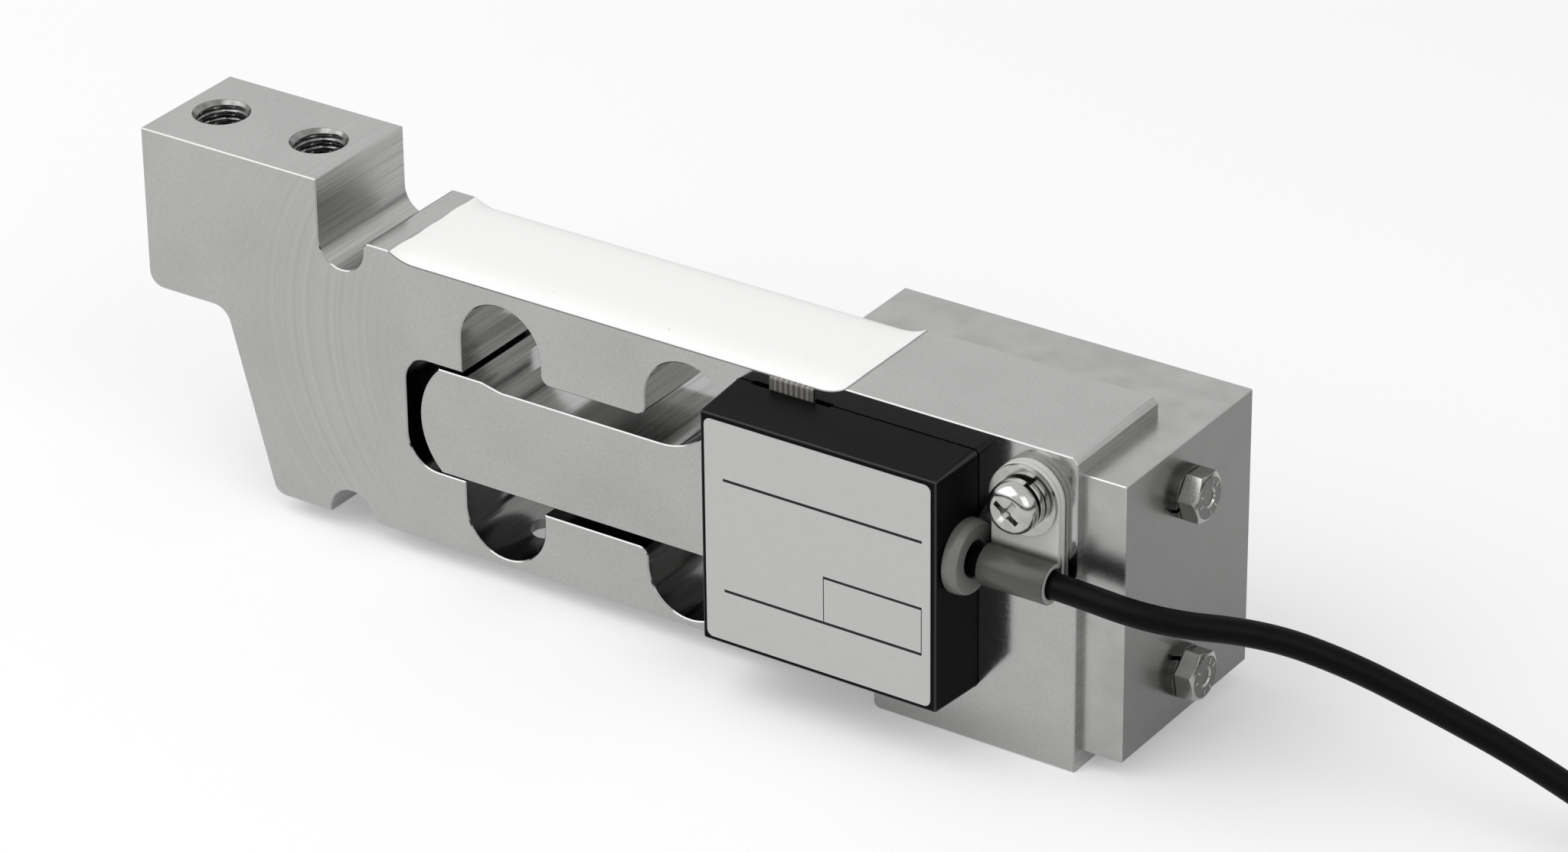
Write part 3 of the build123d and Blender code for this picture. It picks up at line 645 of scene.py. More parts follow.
# Potting: room temperature silicone, poured over the gauges and wiped level. It is opaque white with a soft
# sheen, and holds a few specks of dust.
silicone_finish, tree = surface("white_silicone")
coords = add(tree, "TexCoord")
swell = add(tree, "TexNoise", {"Vector": coords.outputs["Object"], "Scale": 1000 / 9, "Detail": 2.0})
dust = add(tree, "TexVoronoi", {"Vector": coords.outputs["Object"], "Scale": 1000 / 4.5, "Randomness": 1.0})
speck = add(tree, "MapRange", {
    "Value": dust.outputs["Distance"], "From Min": 0.03, "From Max": 0.05, "To Min": 1.0, "To Max": 0.0,
})
colour = add(tree, "Mix", {
    "Factor": speck.outputs["Result"], "A": linear("#FAFAF9"), "B": linear("#D8D8D6"),
}, data_type="RGBA")
# Painted shade: the marked foot of the long edges is painted dark grey, for the crease where the potting
# meets the metal
foot = add(tree, "Attribute", attribute_name="foot")
colour = add(tree, "Mix", {
    "Factor": foot.outputs["Fac"], "A": colour.outputs["Result"], "B": linear("#5A5A58"),
}, data_type="RGBA")
bump = add(tree, "Bump", {"Height": swell.outputs["Fac"], "Strength": 0.3, "Distance": 0.3 * MM})
shader = add(tree, "BsdfPrincipled", {
    "Base Color": colour.outputs["Result"],
    "Roughness": 0.5,
    "IOR": 1.41,
    "Specular IOR Level": 0.3,
    "Normal": bump.outputs["Normal"],
})
add(tree, "OutputMaterial", {"Surface": shader.outputs["BSDF"]})


def recess_bed(x):
    """Height of the recess under a point: flat in the middle, up the cutter's arc at both ends."""
    run_in = math.sqrt(RECESS_CUTTER ** 2 - (RECESS_CUTTER - BODY_TOP + RECESS_FLOOR) ** 2)
    past = max(0.0, RECESS[0] + run_in - x, x - RECESS[1] + run_in)
    return RECESS_FLOOR + RECESS_CUTTER - math.sqrt(RECESS_CUTTER ** 2 - past ** 2)


def potting_blanket():
    """Points and faces of the potting: thin at the long edges, full in the middle, feathered at the ends."""
    crown, edge, columns, rows = BODY_TOP + 0.1, 0.28, 40, 64
    end_gap, side_gap, feather, crowding = 0.25, 0.12, 1.5, 0.7
    thinnest, film = 0.06, 0.04
    top, bottom = [], []
    for row in range(rows + 1):
        t = row / rows
        t = t - math.sin(2 * math.pi * t) / (2 * math.pi) * crowding
        x = RECESS[0] + end_gap + (RECESS[1] - RECESS[0] - 2 * end_gap) * t
        inward = 1 if x < sum(RECESS) / 2 else -1
        from_end = min(x - RECESS[0], RECESS[1] - x)
        near_end = math.exp(-((from_end - end_gap) / feather) ** 2)
        bed = recess_bed(x)
        full = max(thinnest, crown - bed)
        side = min(edge, full)
        for column in range(columns + 1):
            v = -math.cos(math.pi * column / columns)
            y = v * (BACK_Y - side_gap)
            lift = 1 - math.exp(-(1 - abs(v)) * BACK_Y / feather)
            thick = side + (full - side) * lift * (1 - 0.12 * v * v)
            # The feathered edge wanders by a tenth of a millimetre
            ragged = 0.2 + 0.12 * math.sin(y * 0.55 + 1) * math.sin(y * 0.27)
            x_here = x + ragged * inward * near_end
            bed_here = recess_bed(x_here)
            top.append((x_here, y, max(bed_here + film, bed + thick - (bed - bed_here) * near_end)))
            bottom.append((x_here, y, bed_here))
    count = len(top)
    width = columns + 1
    faces = grid_faces(rows + 1, width) + grid_faces(rows + 1, width, start=count)
    for row in range(rows):
        for column in (0, columns):
            a, b = row * width + column, (row + 1) * width + column
            faces.append((a, b, b + count, a + count))
    for column in range(columns):
        for row in (0, rows):
            a = row * width + column
            faces.append((a, a + 1, a + 1 + count, a + count))
    return top + bottom, faces


points, faces = potting_blanket()
potting = mesh_piece("potting", points, faces, silicone_finish, crease=80)
# The foot of both long edges is marked for painted shade, the dark crease where the white meets the metal
foot = potting.data.attributes.new("foot", "FLOAT", "POINT")
for vertex, value in zip(potting.data.vertices, foot.data):
    above = vertex.co.z / MM - recess_bed(vertex.co.x / MM)
    at_side = abs(vertex.co.y / MM) > BACK_Y - 0.2
    value.value = 1.0 if at_side and above < 0.02 else 0.0
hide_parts("gauge_potting")


# Flat cable: seven flat copper traces laminated between two films. The film is smoky and glossy, and the
# traces show through it as pale lines.
TRACES = 7
TRACE_PITCH = 1.05
TRACES_HALF_WIDTH = TRACES * TRACE_PITCH / 2
MARGIN_START = 3.7
FLEX_HALF_WIDTH = 4.3
FLEX_THICKNESS = 0.2
FLEX_CORNERS = [(-5.5, 56.6), (-12.1, 56.68), (-12.78, 56.4), (-12.75, 47.25), (-14.5, 47.25)]
ribbon_finish, tree = surface("laminated_flat_cable")
coords = add(tree, "TexCoord")
place = add(tree, "SeparateXYZ", {"Vector": coords.outputs["Object"]})
across = add(tree, "MapRange", {
    "Value": place.outputs["X"],
    "From Min": (FLEX_X - TRACES_HALF_WIDTH) * MM,
    "From Max": (FLEX_X + TRACES_HALF_WIDTH) * MM,
    "To Max": TRACES,
})
in_trace = add(tree, "Math", {0: across.outputs["Result"]}, operation="FRACT")
trace = add(tree, "MapRange", {
    "Value": off_middle(tree, in_trace.outputs[0], 0.5),
    "From Min": 0.19,
    "From Max": 0.26,
    "To Min": 1.0,
    "To Max": 0.0,
})
on_margin = add(tree, "Math", {
    0: off_middle(tree, place.outputs["X"], FLEX_X * MM), 1: MARGIN_START * MM,
}, operation="GREATER_THAN")
film = add(tree, "Mix", {
    "Factor": on_margin.outputs[0], "A": linear("#5C5A57"), "B": linear("#6B6A67"),
}, data_type="RGBA")
is_trace = add(tree, "Math", {
    0: trace.outputs["Result"], 1: on_margin.outputs[0],
}, operation="SUBTRACT", use_clamp=True)
colour = add(tree, "Mix", {
    "Factor": is_trace.outputs[0], "A": film.outputs["Result"], "B": linear("#86847F"),
}, data_type="RGBA")
bump = add(tree, "Bump", {"Height": is_trace.outputs[0], "Strength": 0.5, "Distance": 0.05 * MM})
shader = add(tree, "BsdfPrincipled", {
    "Base Color": colour.outputs["Result"],
    "Roughness": 0.22,
    "IOR": 1.6,
    "Specular IOR Level": 0.4,
    "Normal": bump.outputs["Normal"],
})
add(tree, "OutputMaterial", {"Surface": shader.outputs["BSDF"]})


def strip_along(path, x_from, x_to, thickness):
    """Points and faces of a strip of even thickness that follows a path in y and z."""
    points = []
    for i, here in enumerate(path):
        off = off_path(path, i, thickness / 2)
        for sign, x in ((1, x_from), (1, x_to), (-1, x_to), (-1, x_from)):
            points.append((x, here[0] + off.x * sign, here[1] + off.y * sign))
    last = 4 * (len(path) - 1)
    ends = [(0, 1, 2, 3), (last, last + 1, last + 2, last + 3)]
    return points, grid_faces(len(path), 4, wrap_columns=True) + ends


points, faces = strip_along(
    bent(FLEX_CORNERS, 0.5), FLEX_X - FLEX_HALF_WIDTH, FLEX_X + FLEX_HALF_WIDTH, FLEX_THICKNESS,
)
ribbon = mesh_piece("flat_cable", points, faces, ribbon_finish)
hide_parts("gauge_flex_cable")


def moulded(name, tones, rough, grain_mm, relief_mm, specular=0.5, ior=1.5, edge_highlight=None):
    """A moulded plastic with an even grain, and a painted highlight colour on its rounded edges, if it is
    given one.

    The real grain is finer than a pixel, so it is drawn as coarse as it needs to show.
    """
    made, tree = surface(name)
    coords = add(tree, "TexCoord")
    grain = add(tree, "TexNoise", {
        "Vector": coords.outputs["Object"], "Scale": 1000 / grain_mm, "Detail": 2.0,
    })
    colour = add(tree, "Mix", {
        "Factor": grain.outputs["Fac"], "A": linear(tones[0]), "B": linear(tones[1]),
    }, data_type="RGBA")
    # Painted highlight: faces that turn away from the axes, on rounded edges, are painted paler
    if edge_highlight:
        facing = add(tree, "VectorMath", {0: coords.outputs["Normal"]}, operation="ABSOLUTE")
        facing = add(tree, "SeparateXYZ", {"Vector": facing.outputs["Vector"]})
        most = add(tree, "Math", {0: facing.outputs["X"], 1: facing.outputs["Y"]}, operation="MAXIMUM")
        most = add(tree, "Math", {0: most.outputs[0], 1: facing.outputs["Z"]}, operation="MAXIMUM")
        on_edge = add(tree, "MapRange", {"Value": most.outputs[0], "From Min": 0.97, "From Max": 0.8})
        colour = add(tree, "Mix", {
            "Factor": on_edge.outputs["Result"], "A": colour.outputs["Result"], "B": linear(edge_highlight),
        }, data_type="RGBA")
    bump = add(tree, "Bump", {"Height": grain.outputs["Fac"], "Strength": 0.5, "Distance": relief_mm * MM})
    shader = add(tree, "BsdfPrincipled", {
        "Base Color": colour.outputs["Result"],
        "Roughness": rough,
        "IOR": ior,
        "Specular IOR Level": specular,
        "Normal": bump.outputs["Normal"],
    })
    add(tree, "OutputMaterial", {"Surface": shader.outputs["BSDF"]})
    return made


# Junction box: ABS moulded black against a fine spark-eroded tool, so it is deep black with a slight satin,
# and a painted highlight on its rounded edges
box_finish = moulded(
    "moulded_black_abs", ("#050505", "#090909"), 0.38, 0.6, 0.006, specular=0.05, ior=1.53, edge_highlight="#3C3C3C",
)
dress("box_cover", box_finish)
# Tape: closed foam, matt and black where its edge shows
tape_finish = moulded("black_foam_tape", ("#101010", "#1C1C1C"), 0.9, 0.4, 0.02, specular=0.1)
dress("box_tape", tape_finish)

# Label: silver grey polyester film, which is satin, with thin rules and a ruled field printed in black
label_finish = moulded(
    "printed_polyester_film", ("#BDBDBC", "#C3C3C2"), 0.38, 1.5, 0.004, specular=0.3, ior=1.6,
)
ink_finish = moulded("black_print", ("#101010", "#1C1C1C"), 0.45, 0.3, 0.002, specular=0.2)
dress("front_label", label_finish)
# Front and back of the print, which is a hundredth of a millimetre proud, then the bars' sides in x and z
PRINT_Y = (LABEL_FRONT_Y - 0.012, LABEL_FRONT_Y + 0.05)
PRINT_BARS = [
    (-41.0, -2.4, 41.8, 42.3),
    (-41.0, -2.4, 21.0, 21.5),
    (-21.5, -2.4, 29.5, 29.95),
    (-21.5, -21.35, 21.52, 29.48),
    (-2.55, -2.4, 21.52, 29.48),
]
points, faces = [], []
for x_from, x_to, z_from, z_to in PRINT_BARS:
    corners = ((x_from, z_from), (x_to, z_from), (x_to, z_to), (x_from, z_to))
    faces += block_faces(len(points))
    points += [(x, y, z) for y in PRINT_Y for x, z in corners]
mesh_piece("label_rules", points, faces, ink_finish)


# Nylon: moulded without pigment, so light goes some way into it. Where the black cable lies behind it, it
# looks darker.
def nylon(name, tones, dark, dark_from, dark_to):
    """Natural nylon that darkens towards the cable's axis, between two distances in millimetres."""
    made, tree = surface(name)
    coords = add(tree, "TexCoord")
    section = add(tree, "VectorMath", {0: coords.outputs["Object"], 1: (0, 1, 1)}, operation="MULTIPLY")
    reach = add(tree, "VectorMath", {
        0: section.outputs["Vector"], 1: (0, CABLE_AXIS[0] * MM, CABLE_AXIS[1] * MM),
    }, operation="DISTANCE")
    near = add(tree, "MapRange", {
        "Value": reach.outputs["Value"],
        "From Min": dark_from * MM,
        "From Max": dark_to * MM,
        "To Min": 1.0,
        "To Max": 0.0,
    }, interpolation_type="SMOOTHSTEP")
    cloud = add(tree, "TexNoise", {"Vector": coords.outputs["Object"], "Scale": 1000 / 4, "Detail": 2.0})
    pale = add(tree, "Mix", {
        "Factor": cloud.outputs["Fac"], "A": linear(tones[0]), "B": linear(tones[1]),
    }, data_type="RGBA")
    colour = add(tree, "Mix", {
        "Factor": near.outputs["Result"], "A": pale.outputs["Result"], "B": linear(dark),
    }, data_type="RGBA")
    # Light comes out at the cut end, so that the end face is paler than the tube behind it
    facing = add(tree, "SeparateXYZ", {"Vector": coords.outputs["Normal"]})
    on_end = add(tree, "MapRange", {
        "Value": facing.outputs["X"], "From Min": 0.8, "From Max": 0.95, "To Max": 0.6,
    })
    colour = add(tree, "Mix", {
        "Factor": on_end.outputs["Result"], "A": colour.outputs["Result"], "B": linear(tones[0]),
    }, data_type="RGBA")
    edge = add(tree, "Bevel", {"Radius": 0.2 * MM}, samples=4)
    shader = add(tree, "BsdfPrincipled", {
        "Base Color": colour.outputs["Result"],
        "Roughness": 0.35,
        "IOR": 1.53,
        "Specular IOR Level": 0.35,
        "Subsurface Weight": 0.3,
        "Subsurface Radius": (1.0, 1.0, 1.0),
        "Subsurface Scale": 1.0 * MM,
        "Normal": edge.outputs["Normal"],
    })
    add(tree, "OutputMaterial", {"Surface": shader.outputs["BSDF"]})
    return made


# Loop clamp: one nylon strip with round ends, bent about the cable
CLAMP_WIDTH = 12.7
CLAMP_THICKNESS = 1.14
CLAMP_LEAF_GAP = 0.02
CLAMP_LOOP_RADIUS = 3.025
CLAMP_END_STEPS = 10
CLAMP_LOOP_STEPS = 28


def clamp_path():
    """The way of the strip's middle in y and z: down the back leaf, about the cable, up the front leaf."""
    mid_y, mid_z = CABLE_AXIS
    back_y = FRONT_Y - CLAMP_THICKNESS / 2
    front_y = FRONT_Y - CLAMP_LEAF_GAP - 1.5 * CLAMP_THICKNESS
    meet = math.acos((front_y - mid_y) / CLAMP_LOOP_RADIUS)
    corner = (front_y, mid_z + CLAMP_LOOP_RADIUS * math.sin(meet))
    round_end = []
    for i in range(CLAMP_END_STEPS + 1):
        drop = CLAMP_WIDTH / 2 * (1 - math.cos(math.pi / 2 * i / CLAMP_END_STEPS))
        round_end.append(CLAMP_SCREW_Z + CLAMP_WIDTH / 2 - drop)
    path = [(back_y, z) for z in round_end + [mid_z + 6, mid_z + 3]]
    for i in range(CLAMP_LOOP_STEPS):
        angle = (2 * math.pi - meet) * i / CLAMP_LOOP_STEPS
        dy, dz = CLAMP_LOOP_RADIUS * math.cos(angle), -CLAMP_LOOP_RADIUS * math.sin(angle)
        path.append((mid_y + dy, mid_z + dz))
    path += bent([path[-1], corner, (front_y, corner[1] + 3)], 1.0)[1:-1]
    return path + [(front_y, z) for z in round_end[::-1]]


def loop_clamp():
    """Points and faces of the clamp, with its long edges rounded and its leaves narrower at their ends."""
    edge_radius, narrowest = 0.3, 0.2
    corner = [(1.0, 0.5), (0.7, 0.85), (0.1, 1.0)]
    section = corner + [(-a, b) for a, b in corner[::-1]]
    section += [(-a, -b) for a, b in corner] + [(a, -b) for a, b in corner[::-1]]
    path = clamp_path()
    points = []
    for i, here in enumerate(path):
        off = off_path(path, i, CLAMP_THICKNESS / 2)
        up = max(0.0, here[1] - CLAMP_SCREW_Z)
        half = math.sqrt(max(narrowest ** 2, (CLAMP_WIDTH / 2) ** 2 - up ** 2))
        for side, b in section:
            across = math.copysign(max(0.0, half - edge_radius * (1 - abs(side))), side)
            points.append((CLAMP_X + across, here[0] + off.x * b, here[1] + off.y * b))
    count = len(section)
    last = count * (len(path) - 1)
    ends = [tuple(range(count)), tuple(range(last, last + count))]
    return points, grid_faces(len(path), count, wrap_columns=True) + ends


clamp_finish = nylon("natural_nylon_clamp", ("#C8C8C6", "#D4D4D2"), "#484846", 3.4, 5.2)
points, faces = loop_clamp()
clamp = mesh_piece("cable_loop_clamp", points, faces, clamp_finish, crease=50)
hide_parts("cable_clamp")

# Bush, from the bore round its neck and flange, as (radius, place along the cable)
BUSH_PROFILE = [
    (3.1, -3.6), (3.1, 2.8), (3.5, 3.0), (5.9, 3.1), (6.15, 2.9), (6.4, 2.0), (6.45, 1.8), (6.45, 0.4),
    (4.45, 0.4), (4.45, -3.6),
]


def trimmed_bush():
    """The mesh of the turned bush, cut flat just before it meets the beam's front face."""
    points, faces = turned(rounded(BUSH_PROFILE, 0.2, 4))
    mesh = closed_mesh("bush_blank", placed(points, *ALONG_BEAM, (0, *BUSH_AXIS)), faces)
    trim = bmesh.new()
    trim.from_mesh(mesh)
    bmesh.ops.bisect_plane(
        trim,
        geom=trim.verts[:] + trim.edges[:] + trim.faces[:],
        plane_co=(0, (FRONT_Y - 0.1) * MM, 0),
        plane_no=(0, 1, 0),
        clear_outer=True,
    )
    bmesh.ops.holes_fill(trim, edges=[e for e in trim.edges if e.is_boundary], sides=0)
    trim.to_mesh(mesh)
    trim.free()
    soften(mesh, 45)
    return mesh


# Painted shade: the bush is the same natural nylon as the clamp, painted in darker tones for the shade it
# lies in
bush_finish = nylon("natural_nylon_bush", ("#6E6E6C", "#7A7A78"), "#4A4A48", 3.2, 5.4)
bush = piece("cable_bush_moulding", trimmed_bush(), bush_finish)
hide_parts("cable_bush")


def cross_recess(top, depth, reach, blade, turn):
    """Points and faces of the tapered cross that a screwdriver leaves, its mouth just over the head."""
    points = []
    # Each level's height, and the share of the full cross that is left there
    for level, share in ((0.3, 1.06), (-depth * 0.55, 0.78), (-depth, 0.36)):
        r, b = reach * share, blade * (0.75 + 0.25 * share)
        c = b + 0.38 * share
        for quarter in range(4):
            angle = math.radians(turn + 90 * quarter)
            points += [(*swung(x, y, angle), top + level) for x, y in ((r, -b), (r, b), (c, b), (b, c))]
    ends = [tuple(range(15, -1, -1)), tuple(range(32, 48))]
    return points, grid_faces(3, 16, wrap_columns=True) + ends


def cut_away(target, cutter):
    """Takes the cutter's shape out of the target's mesh, and the cutter out of the scene."""
    step = target.modifiers.new("cut", "BOOLEAN")
    step.operation = "DIFFERENCE"
    step.solver = "EXACT"
    step.object = cutter
    bpy.context.view_layer.update()
    shape = target.evaluated_get(bpy.context.evaluated_depsgraph_get())
    mesh = bpy.data.meshes.new_from_object(shape)
    target.modifiers.clear()
    target.data = mesh
    bpy.data.objects.remove(cutter)


# Pan head screw of the clamp: the rings of its head and shank as (radius, height over the seat)
SCREW_RINGS = [
    (1.6, 2.99), (2.5, 2.94), (2.95, 2.84), (3.4, 2.64), (3.8, 2.32), (4.12, 1.92), (4.35, 1.45),
    (4.47, 0.95), (4.5, 0.5), (4.5, 0.12), (4.38, 0.0), (2.5, 0.0), (2.5, -16.6), (2.0, -17.1),
]
screw_seat = (CLAMP_X, SCREW_SEAT_Y, CLAMP_SCREW_Z)
points, faces = capped([[ring] * 64 for ring in SCREW_RINGS], 3.0, -17.1)
points = placed(points, *OUT_OF_FRONT, screw_seat)
screw = mesh_piece("pan_head_screw", points, faces, plated_finish, crease=40)
points, faces = cross_recess(top=2.97, depth=1.9, reach=2.6, blade=0.5, turn=-35)
cross = closed_mesh("cross_cutter", placed(points, *OUT_OF_FRONT, screw_seat), faces)
cut_away(screw, put("cross_cutter", cross))
soften(screw.data, 40)
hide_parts("clamp_screw")


def split_washer(inner, outer, thickness, lift, split_angle, gap):
    """Points and faces of a spring washer about z: one turn of a square band that rises from end to end."""
    corners = rounded([(inner, 0), (outer, 0), (outer, thickness), (inner, thickness)], 0.2, 2)
    steps = 72
    points = []
    for i in range(steps + 1):
        a = math.radians(split_angle - gap / 2 - (360 - gap) * i / steps)
        for reach, level in corners:
            points.append((reach * math.cos(a), reach * math.sin(a), level + lift * i / steps))
    count = len(corners)
    ends = [tuple(range(count)), tuple(range(steps * count, steps * count + count))]
    return points, grid_faces(steps + 1, count, wrap_columns=True) + ends


points, faces = split_washer(inner=2.75, outer=4.55, thickness=1.2, lift=0.72, split_angle=66, gap=9)
points = placed(points, *OUT_OF_FRONT, (CLAMP_X, SPLIT_WASHER_FOOT_Y, CLAMP_SCREW_Z))
spring_washer = mesh_piece("clamp_split_washer", points, faces, plated_finish, crease=40)
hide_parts("clamp_spring_washer")
dress("clamp_flat_washer", plated_finish)


def hexagon_bolt(turn):
    """Points and faces of a bolt along z: crowned hexagon head with a dished top, and a plain shank."""
    half_across, height, crown, dish, chamfer = 4.0, 3.5, 3.75, 1.7, 0.12
    shank, shank_end, point, point_end = 2.5, -20.8, 2.1, -21.3
    steps = 72
    slope = math.tan(math.radians(30))
    flats = [half_across / math.cos(math.radians((360 * i / steps + 30) % 60 - 30)) for i in range(steps)]

    def ring(reach, level):
        return [(reach, level)] * steps

    rings = [
        ring(0.9 * dish, height - 0.3),
        ring(dish, height - chamfer),
        ring(dish + chamfer, height),
        ring(crown - chamfer, height),
        ring(crown, height - 0.05),
        [(r, height - (r - crown) * slope - 0.05) for r in flats],
        [(r, chamfer) for r in flats],
        [(r - chamfer, 0.0) for r in flats],
        ring(shank, 0.0),
        ring(shank, shank_end),
        ring(point, point_end),
    ]
    return capped(rings, height - 0.34, point_end, turn)


def raised_marks(turn):
    """Points and faces of six small raised strokes about the middle of a bolt's head."""
    stroke = ((2.25, -0.14), (3.25, -0.14), (3.25, 0.14), (2.25, 0.14))
    foot_and_top = (3.42, 3.58)
    points, faces = [], []
    for i in range(6):
        angle = math.radians(turn + 60 * i + 12 * (-1) ** i)
        faces += block_faces(len(points))
        points += [(*swung(x, y, angle), level) for level in foot_and_top for x, y in stroke]
    return points, faces


# Strokes: the bolts' own steel, a little duller, so that they stand out pale on the dark top
mark_finish = metal("stainless_marks", ("#A0A09E", "#ACACAA"), (0.3, 0.4), 2, 0.4, 0.05)
for number, (z, turn) in enumerate(END_BOLTS, 1):
    seat = (END_BOLT_SEAT_X, END_BOLT_Y, z)
    points, faces = hexagon_bolt(turn)
    points = placed(points, *ALONG_BEAM, seat)
    bolt = mesh_piece("hexagon_bolt_%d" % number, points, faces, bolt_finish, crease=20)
    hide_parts("end_bolts")
    points, faces = raised_marks(turn)
    points = placed(points, *ALONG_BEAM, seat)
    mesh_piece("bolt_marks_%d" % number, points, faces, mark_finish)
dress("end_bolt_washers", spring_finish)

# Inside the potting and the box, where nothing shows: plain finishes of the real materials
gauge_finish = moulded("polyimide_gauge_film", ("#B8762E", "#C68A42"), 0.35, 0.3, 0.005)
pad_finish = metal("tinned_copper_pad", ("#C2B08A", "#CDBE9C"), (0.25, 0.4), 1, 0.3, 0.3)
board_finish = moulded("green_board_lacquer", ("#1B5230", "#23623B"), 0.35, 0.8, 0.01)
socket_finish = moulded("cream_nylon_socket", ("#D2CCB8", "#DCD6C4"), 0.5, 0.5, 0.01)
resistor_finish = moulded("glazed_resistor", ("#121212", "#1D1D1D"), 0.3, 0.3, 0.01)
core_finish = moulded("coloured_core_vinyl", ("#8E2420", "#9C2E28"), 0.4, 0.5, 0.005)
dress("strain_gauges", gauge_finish)
dress("gauge_terminals", pad_finish)
dress("circuit_board", board_finish)
dress("board_screws", bolt_finish)
dress("flex_connector", socket_finish)
dress("trim_resistors", resistor_finish)
dress("cable_conductors", core_finish)

# Cable jacket: soft black vinyl, extruded, which is satin and a little uneven
jacket_finish = moulded(
    "extruded_black_vinyl", ("#060606", "#0A0A0A"), 0.4, 1.2, 0.015, specular=0.06, ior=1.52,
)
cable = piece("signal_cord", cable_curve, jacket_finish)
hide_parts("signal_cable", "cable_coil")

# Five cores at the cable's end, each with its own colour and a tinned tip
LEAD_COLOURS = {
    "red": "#A82C22", "white": "#E4E2DC", "green": "#2E7A3C", "blue": "#2A4C9E", "yellow": "#C9B23A",
}
LEAD_START = Vector((127.4, 22.05, 0.55))
LEAD_LENGTH = 21.0
LEAD_RADIUS = 0.55
LEAD_TIP_RADIUS = 0.36
LEAD_STEPS = 24
LEAD_BARE_FROM = 18


def tube(path, radius, steps=16):
    """Points and faces of a closed round bar along a path that never turns far."""
    points = []
    side = Vector((0, 0, 1)).cross(path[1] - path[0]).normalized()
    for i, here in enumerate(path):
        along = (path[min(i + 1, len(path) - 1)] - path[max(i - 1, 0)]).normalized()
        side = (side - along * side.dot(along)).normalized()
        up = along.cross(side)
        for k in range(steps):
            a = 2 * math.pi * k / steps
            points.append(tuple(here + side * radius * math.cos(a) + up * radius * math.sin(a)))
    last = steps * (len(path) - 1)
    ends = [tuple(range(steps)), tuple(range(last, last + steps))]
    return points, grid_faces(len(path), steps, wrap_columns=True) + ends


def lead_path(number, start, heading):
    """A core's way from the jacket's end down to the floor and out to its place in the fan."""
    sunk, ring_radius, run_out, run_in = 0.5, 1.15, 4.0, 8.0
    first_angle, fan_step = 78, 9
    around = 2 * math.pi * number / len(LEAD_COLOURS)
    across = Vector((-heading.y, heading.x, 0))
    rise = Vector((0, 0, ring_radius * math.sin(around)))
    first = start - heading * sunk + across * ring_radius * math.cos(around) + rise
    fan = math.radians(first_angle - fan_step * number)
    out = Vector((math.cos(fan), math.sin(fan), 0))
    tip = LEAD_START + out * LEAD_LENGTH
    pull = [first, first + heading * run_out, tip - out * run_in, tip]
    pull[1].z = first.z * 0.8 + 0.1
    path = []
    for i in range(LEAD_STEPS + 1):
        t = i / LEAD_STEPS
        weights = ((1 - t) ** 3, 3 * t * (1 - t) ** 2, 3 * t * t * (1 - t), t ** 3)
        path.append(sum((p * w for p, w in zip(pull, weights)), Vector((0, 0, 0))))
    return path


tinned_finish = metal("tinned_copper_tip", ("#B4B2AC", "#C4C2BC"), (0.25, 0.35), 1, 0.3, 0.2)
cable_end = Vector(cable_points[-1])
end_heading = (cable_end - Vector(cable_points[-2])).normalized()
leads = []
for number, (colour_name, colour_hex) in enumerate(LEAD_COLOURS.items()):
    path = lead_path(number, cable_end, end_heading)
    points, faces = tube(path[:LEAD_BARE_FROM + 1], LEAD_RADIUS)
    finish = moulded(colour_name + "_core_vinyl", (colour_hex, colour_hex), 0.4, 0.5, 0.005)
    leads.append(mesh_piece("lead_" + colour_name, points, faces, finish))
    points, faces = tube(path[LEAD_BARE_FROM - 1:], LEAD_TIP_RADIUS)
    leads.append(mesh_piece("lead_tip_" + colour_name, points, faces, tinned_finish))
for lead in leads:
    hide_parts("cable_leads")

# Tie of black nylon, drawn tight round the coil where each turn runs true, with its lock on top
TIE_ANGLE = ENTRY_ANGLE + 0.35 * 2 * math.pi
TIE_WIDTH = 2.6
TIE_THICKNESS = 0.5
TIE_SIDES = 48
LOCK_LENGTH = 4.6
LOCK_WIDTH = 3.8
LOCK_HEIGHT = 2.0


def tie_loop(clearance, lift):
    """A loop (reach, height) drawn round the coil's section, nowhere lower than the lift."""
    grown = CABLE_DIAMETER / 2 + clearance
    loop = []
    for i in range(TIE_SIDES):
        angle = 2 * math.pi * i / TIE_SIDES
        out = (math.cos(angle), math.sin(angle))
        radius, height, _ = max(COIL_TURNS, key=lambda turn: turn[0] * out[0] + turn[1] * out[1])
        loop.append((radius + grown * out[0], max(height + grown * out[1], lift)))
    return loop


outer = tie_loop(TIE_THICKNESS, 0.0)
inner = tie_loop(0.0, TIE_THICKNESS)
tie_rows = [(outer, -1), (outer, 1), (inner, 1), (inner, -1)]
tie_points = [(reach, side * TIE_WIDTH / 2, height) for loop, side in tie_rows for reach, height in loop]
tie_frame = (
    (math.cos(TIE_ANGLE), math.sin(TIE_ANGLE), 0),
    (-math.sin(TIE_ANGLE), math.cos(TIE_ANGLE), 0),
    (0, 0, 1),
    (*COIL_CENTRE, 0),
)
tie_finish = moulded("black_nylon_tie", ("#0C0C0C", "#141414"), 0.4, 0.5, 0.005, specular=0.3)
tie_faces = grid_faces(4, TIE_SIDES, wrap_rows=True, wrap_columns=True)
tie = mesh_piece("coil_tie", placed(tie_points, *tie_frame), tie_faces, tie_finish)

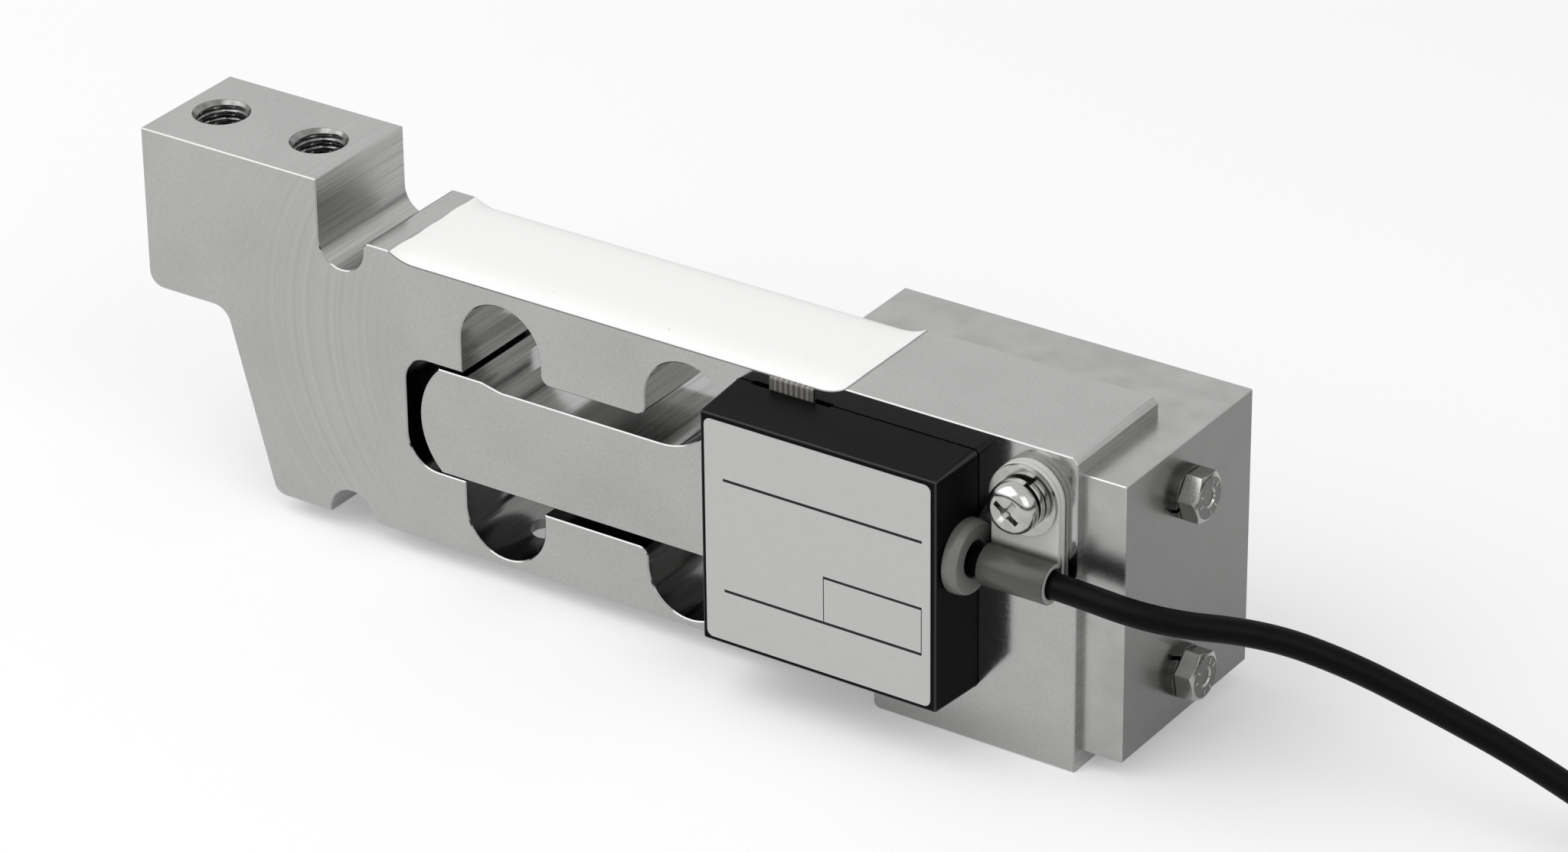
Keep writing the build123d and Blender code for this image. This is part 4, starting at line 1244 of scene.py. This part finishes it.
lock_reach = sum(turn[0] for turn in COIL_TURNS[2:4]) / 2
half_length, half_width = LOCK_LENGTH / 2, LOCK_WIDTH / 2
lock_outline = rounded([
    (lock_reach - half_length, -half_width), (lock_reach + half_length, -half_width),
    (lock_reach + half_length, half_width), (lock_reach - half_length, half_width),
], 0.6)
lock_foot = TOP_LAYER + CABLE_DIAMETER / 2 + TIE_THICKNESS / 2
lock_points = [(x, y, z) for z in (lock_foot, lock_foot + LOCK_HEIGHT) for x, y in lock_outline]
sides = len(lock_outline)
lock_faces = grid_faces(2, sides, wrap_columns=True) + [tuple(range(sides)), tuple(range(sides, 2 * sides))]
lock = mesh_piece("coil_tie_lock", placed(lock_points, *tie_frame), lock_faces, tie_finish)


def seen_directly(tree):
    """One where the camera, a reflection or a clear piece shows it, and nought where it only lights."""
    rays = add(tree, "LightPath")
    seen = rays.outputs["Is Camera Ray"]
    for kind in ("Is Glossy Ray", "Is Transmission Ray"):
        seen = add(tree, "Math", {0: seen, 1: rays.outputs[kind]}, operation="MAXIMUM").outputs[0]
    return seen


def studio_piece(name, points, faces, finish):
    """A piece of the studio, from points in metres."""
    mesh = bpy.data.meshes.new(name)
    mesh.from_pydata(points, [], faces)
    mesh.materials.append(finish)
    return put(name, mesh)


# Floor: a pale sweep whose own shade is lifted for the camera and for reflections, so shadows stay
FLOOR_HALF = 6.0
floor_finish, tree = surface("white_sweep")
lift = add(tree, "Math", {0: seen_directly(tree), 1: 0.25}, operation="MULTIPLY")
shader = add(tree, "BsdfPrincipled", {
    "Base Color": linear("#E6E6E6"),
    "Roughness": 0.9,
    "Specular IOR Level": 0.0,
    "Emission Color": (1, 1, 1, 1),
    "Emission Strength": lift.outputs[0],
})
add(tree, "OutputMaterial", {"Surface": shader.outputs["BSDF"]})
floor_corners = [(FLOOR_HALF * x, FLOOR_HALF * y, 0) for x, y in ((-1, -1), (1, -1), (1, 1), (-1, 1))]
floor = studio_piece("studio_floor", floor_corners, [(0, 1, 2, 3)], floor_finish)

# Dark horizon: a low black band far round the table, which only reflections see, so that round metal shows
# a dark line as it does in a studio
HORIZON_REACH = 3.0
HORIZON_TOP = 0.55
HORIZON_STEPS = 48
horizon_finish, tree = surface("black_cloth")
shader = add(tree, "BsdfPrincipled", {
    "Base Color": linear("#0A0A0A"), "Roughness": 1.0, "Specular IOR Level": 0.0,
})
add(tree, "OutputMaterial", {"Surface": shader.outputs["BSDF"]})
horizon_rings = [[(HORIZON_REACH, z)] * HORIZON_STEPS for z in (0.0, HORIZON_TOP)]
horizon_faces = grid_faces(2, HORIZON_STEPS, wrap_columns=True)
horizon = studio_piece("dark_horizon", ring_points(horizon_rings), horizon_faces, horizon_finish)
horizon.visible_camera = False
horizon.visible_diffuse = False
horizon.visible_shadow = False
horizon.visible_transmission = False

# World: plain white where it is seen, softer where it only fills
world = bpy.data.worlds.new("studio")
bpy.context.scene.world = world
world.use_nodes = True
tree = world.node_tree
tree.nodes.clear()
strength = add(tree, "MapRange", {"Value": seen_directly(tree), "To Min": 0.45, "To Max": 1.0})
sky = add(tree, "Background", {"Color": (1, 1, 1, 1), "Strength": strength.outputs["Result"]})
add(tree, "OutputWorld", {"Surface": sky.outputs["Background"]})

# Studio lamps: a large key from the upper left and a fill from the right
for name, place, size, power in (
    ("key_softbox", (-0.9, -0.9, 1.5), 2.2, 26.0),
    ("fill_softbox", (1.2, -0.6, 1.0), 1.2, 6.0),
):
    lamp_data = bpy.data.lights.new(name, "AREA")
    lamp_data.size = size
    lamp_data.energy = power
    lamp = put(name, lamp_data)
    lamp.location = place
    lamp.rotation_euler = (Vector((0, 0, 0.03)) - Vector(place)).to_track_quat("-Z", "Y").to_euler()

bpy.context.scene.view_settings.view_transform = "Standard"
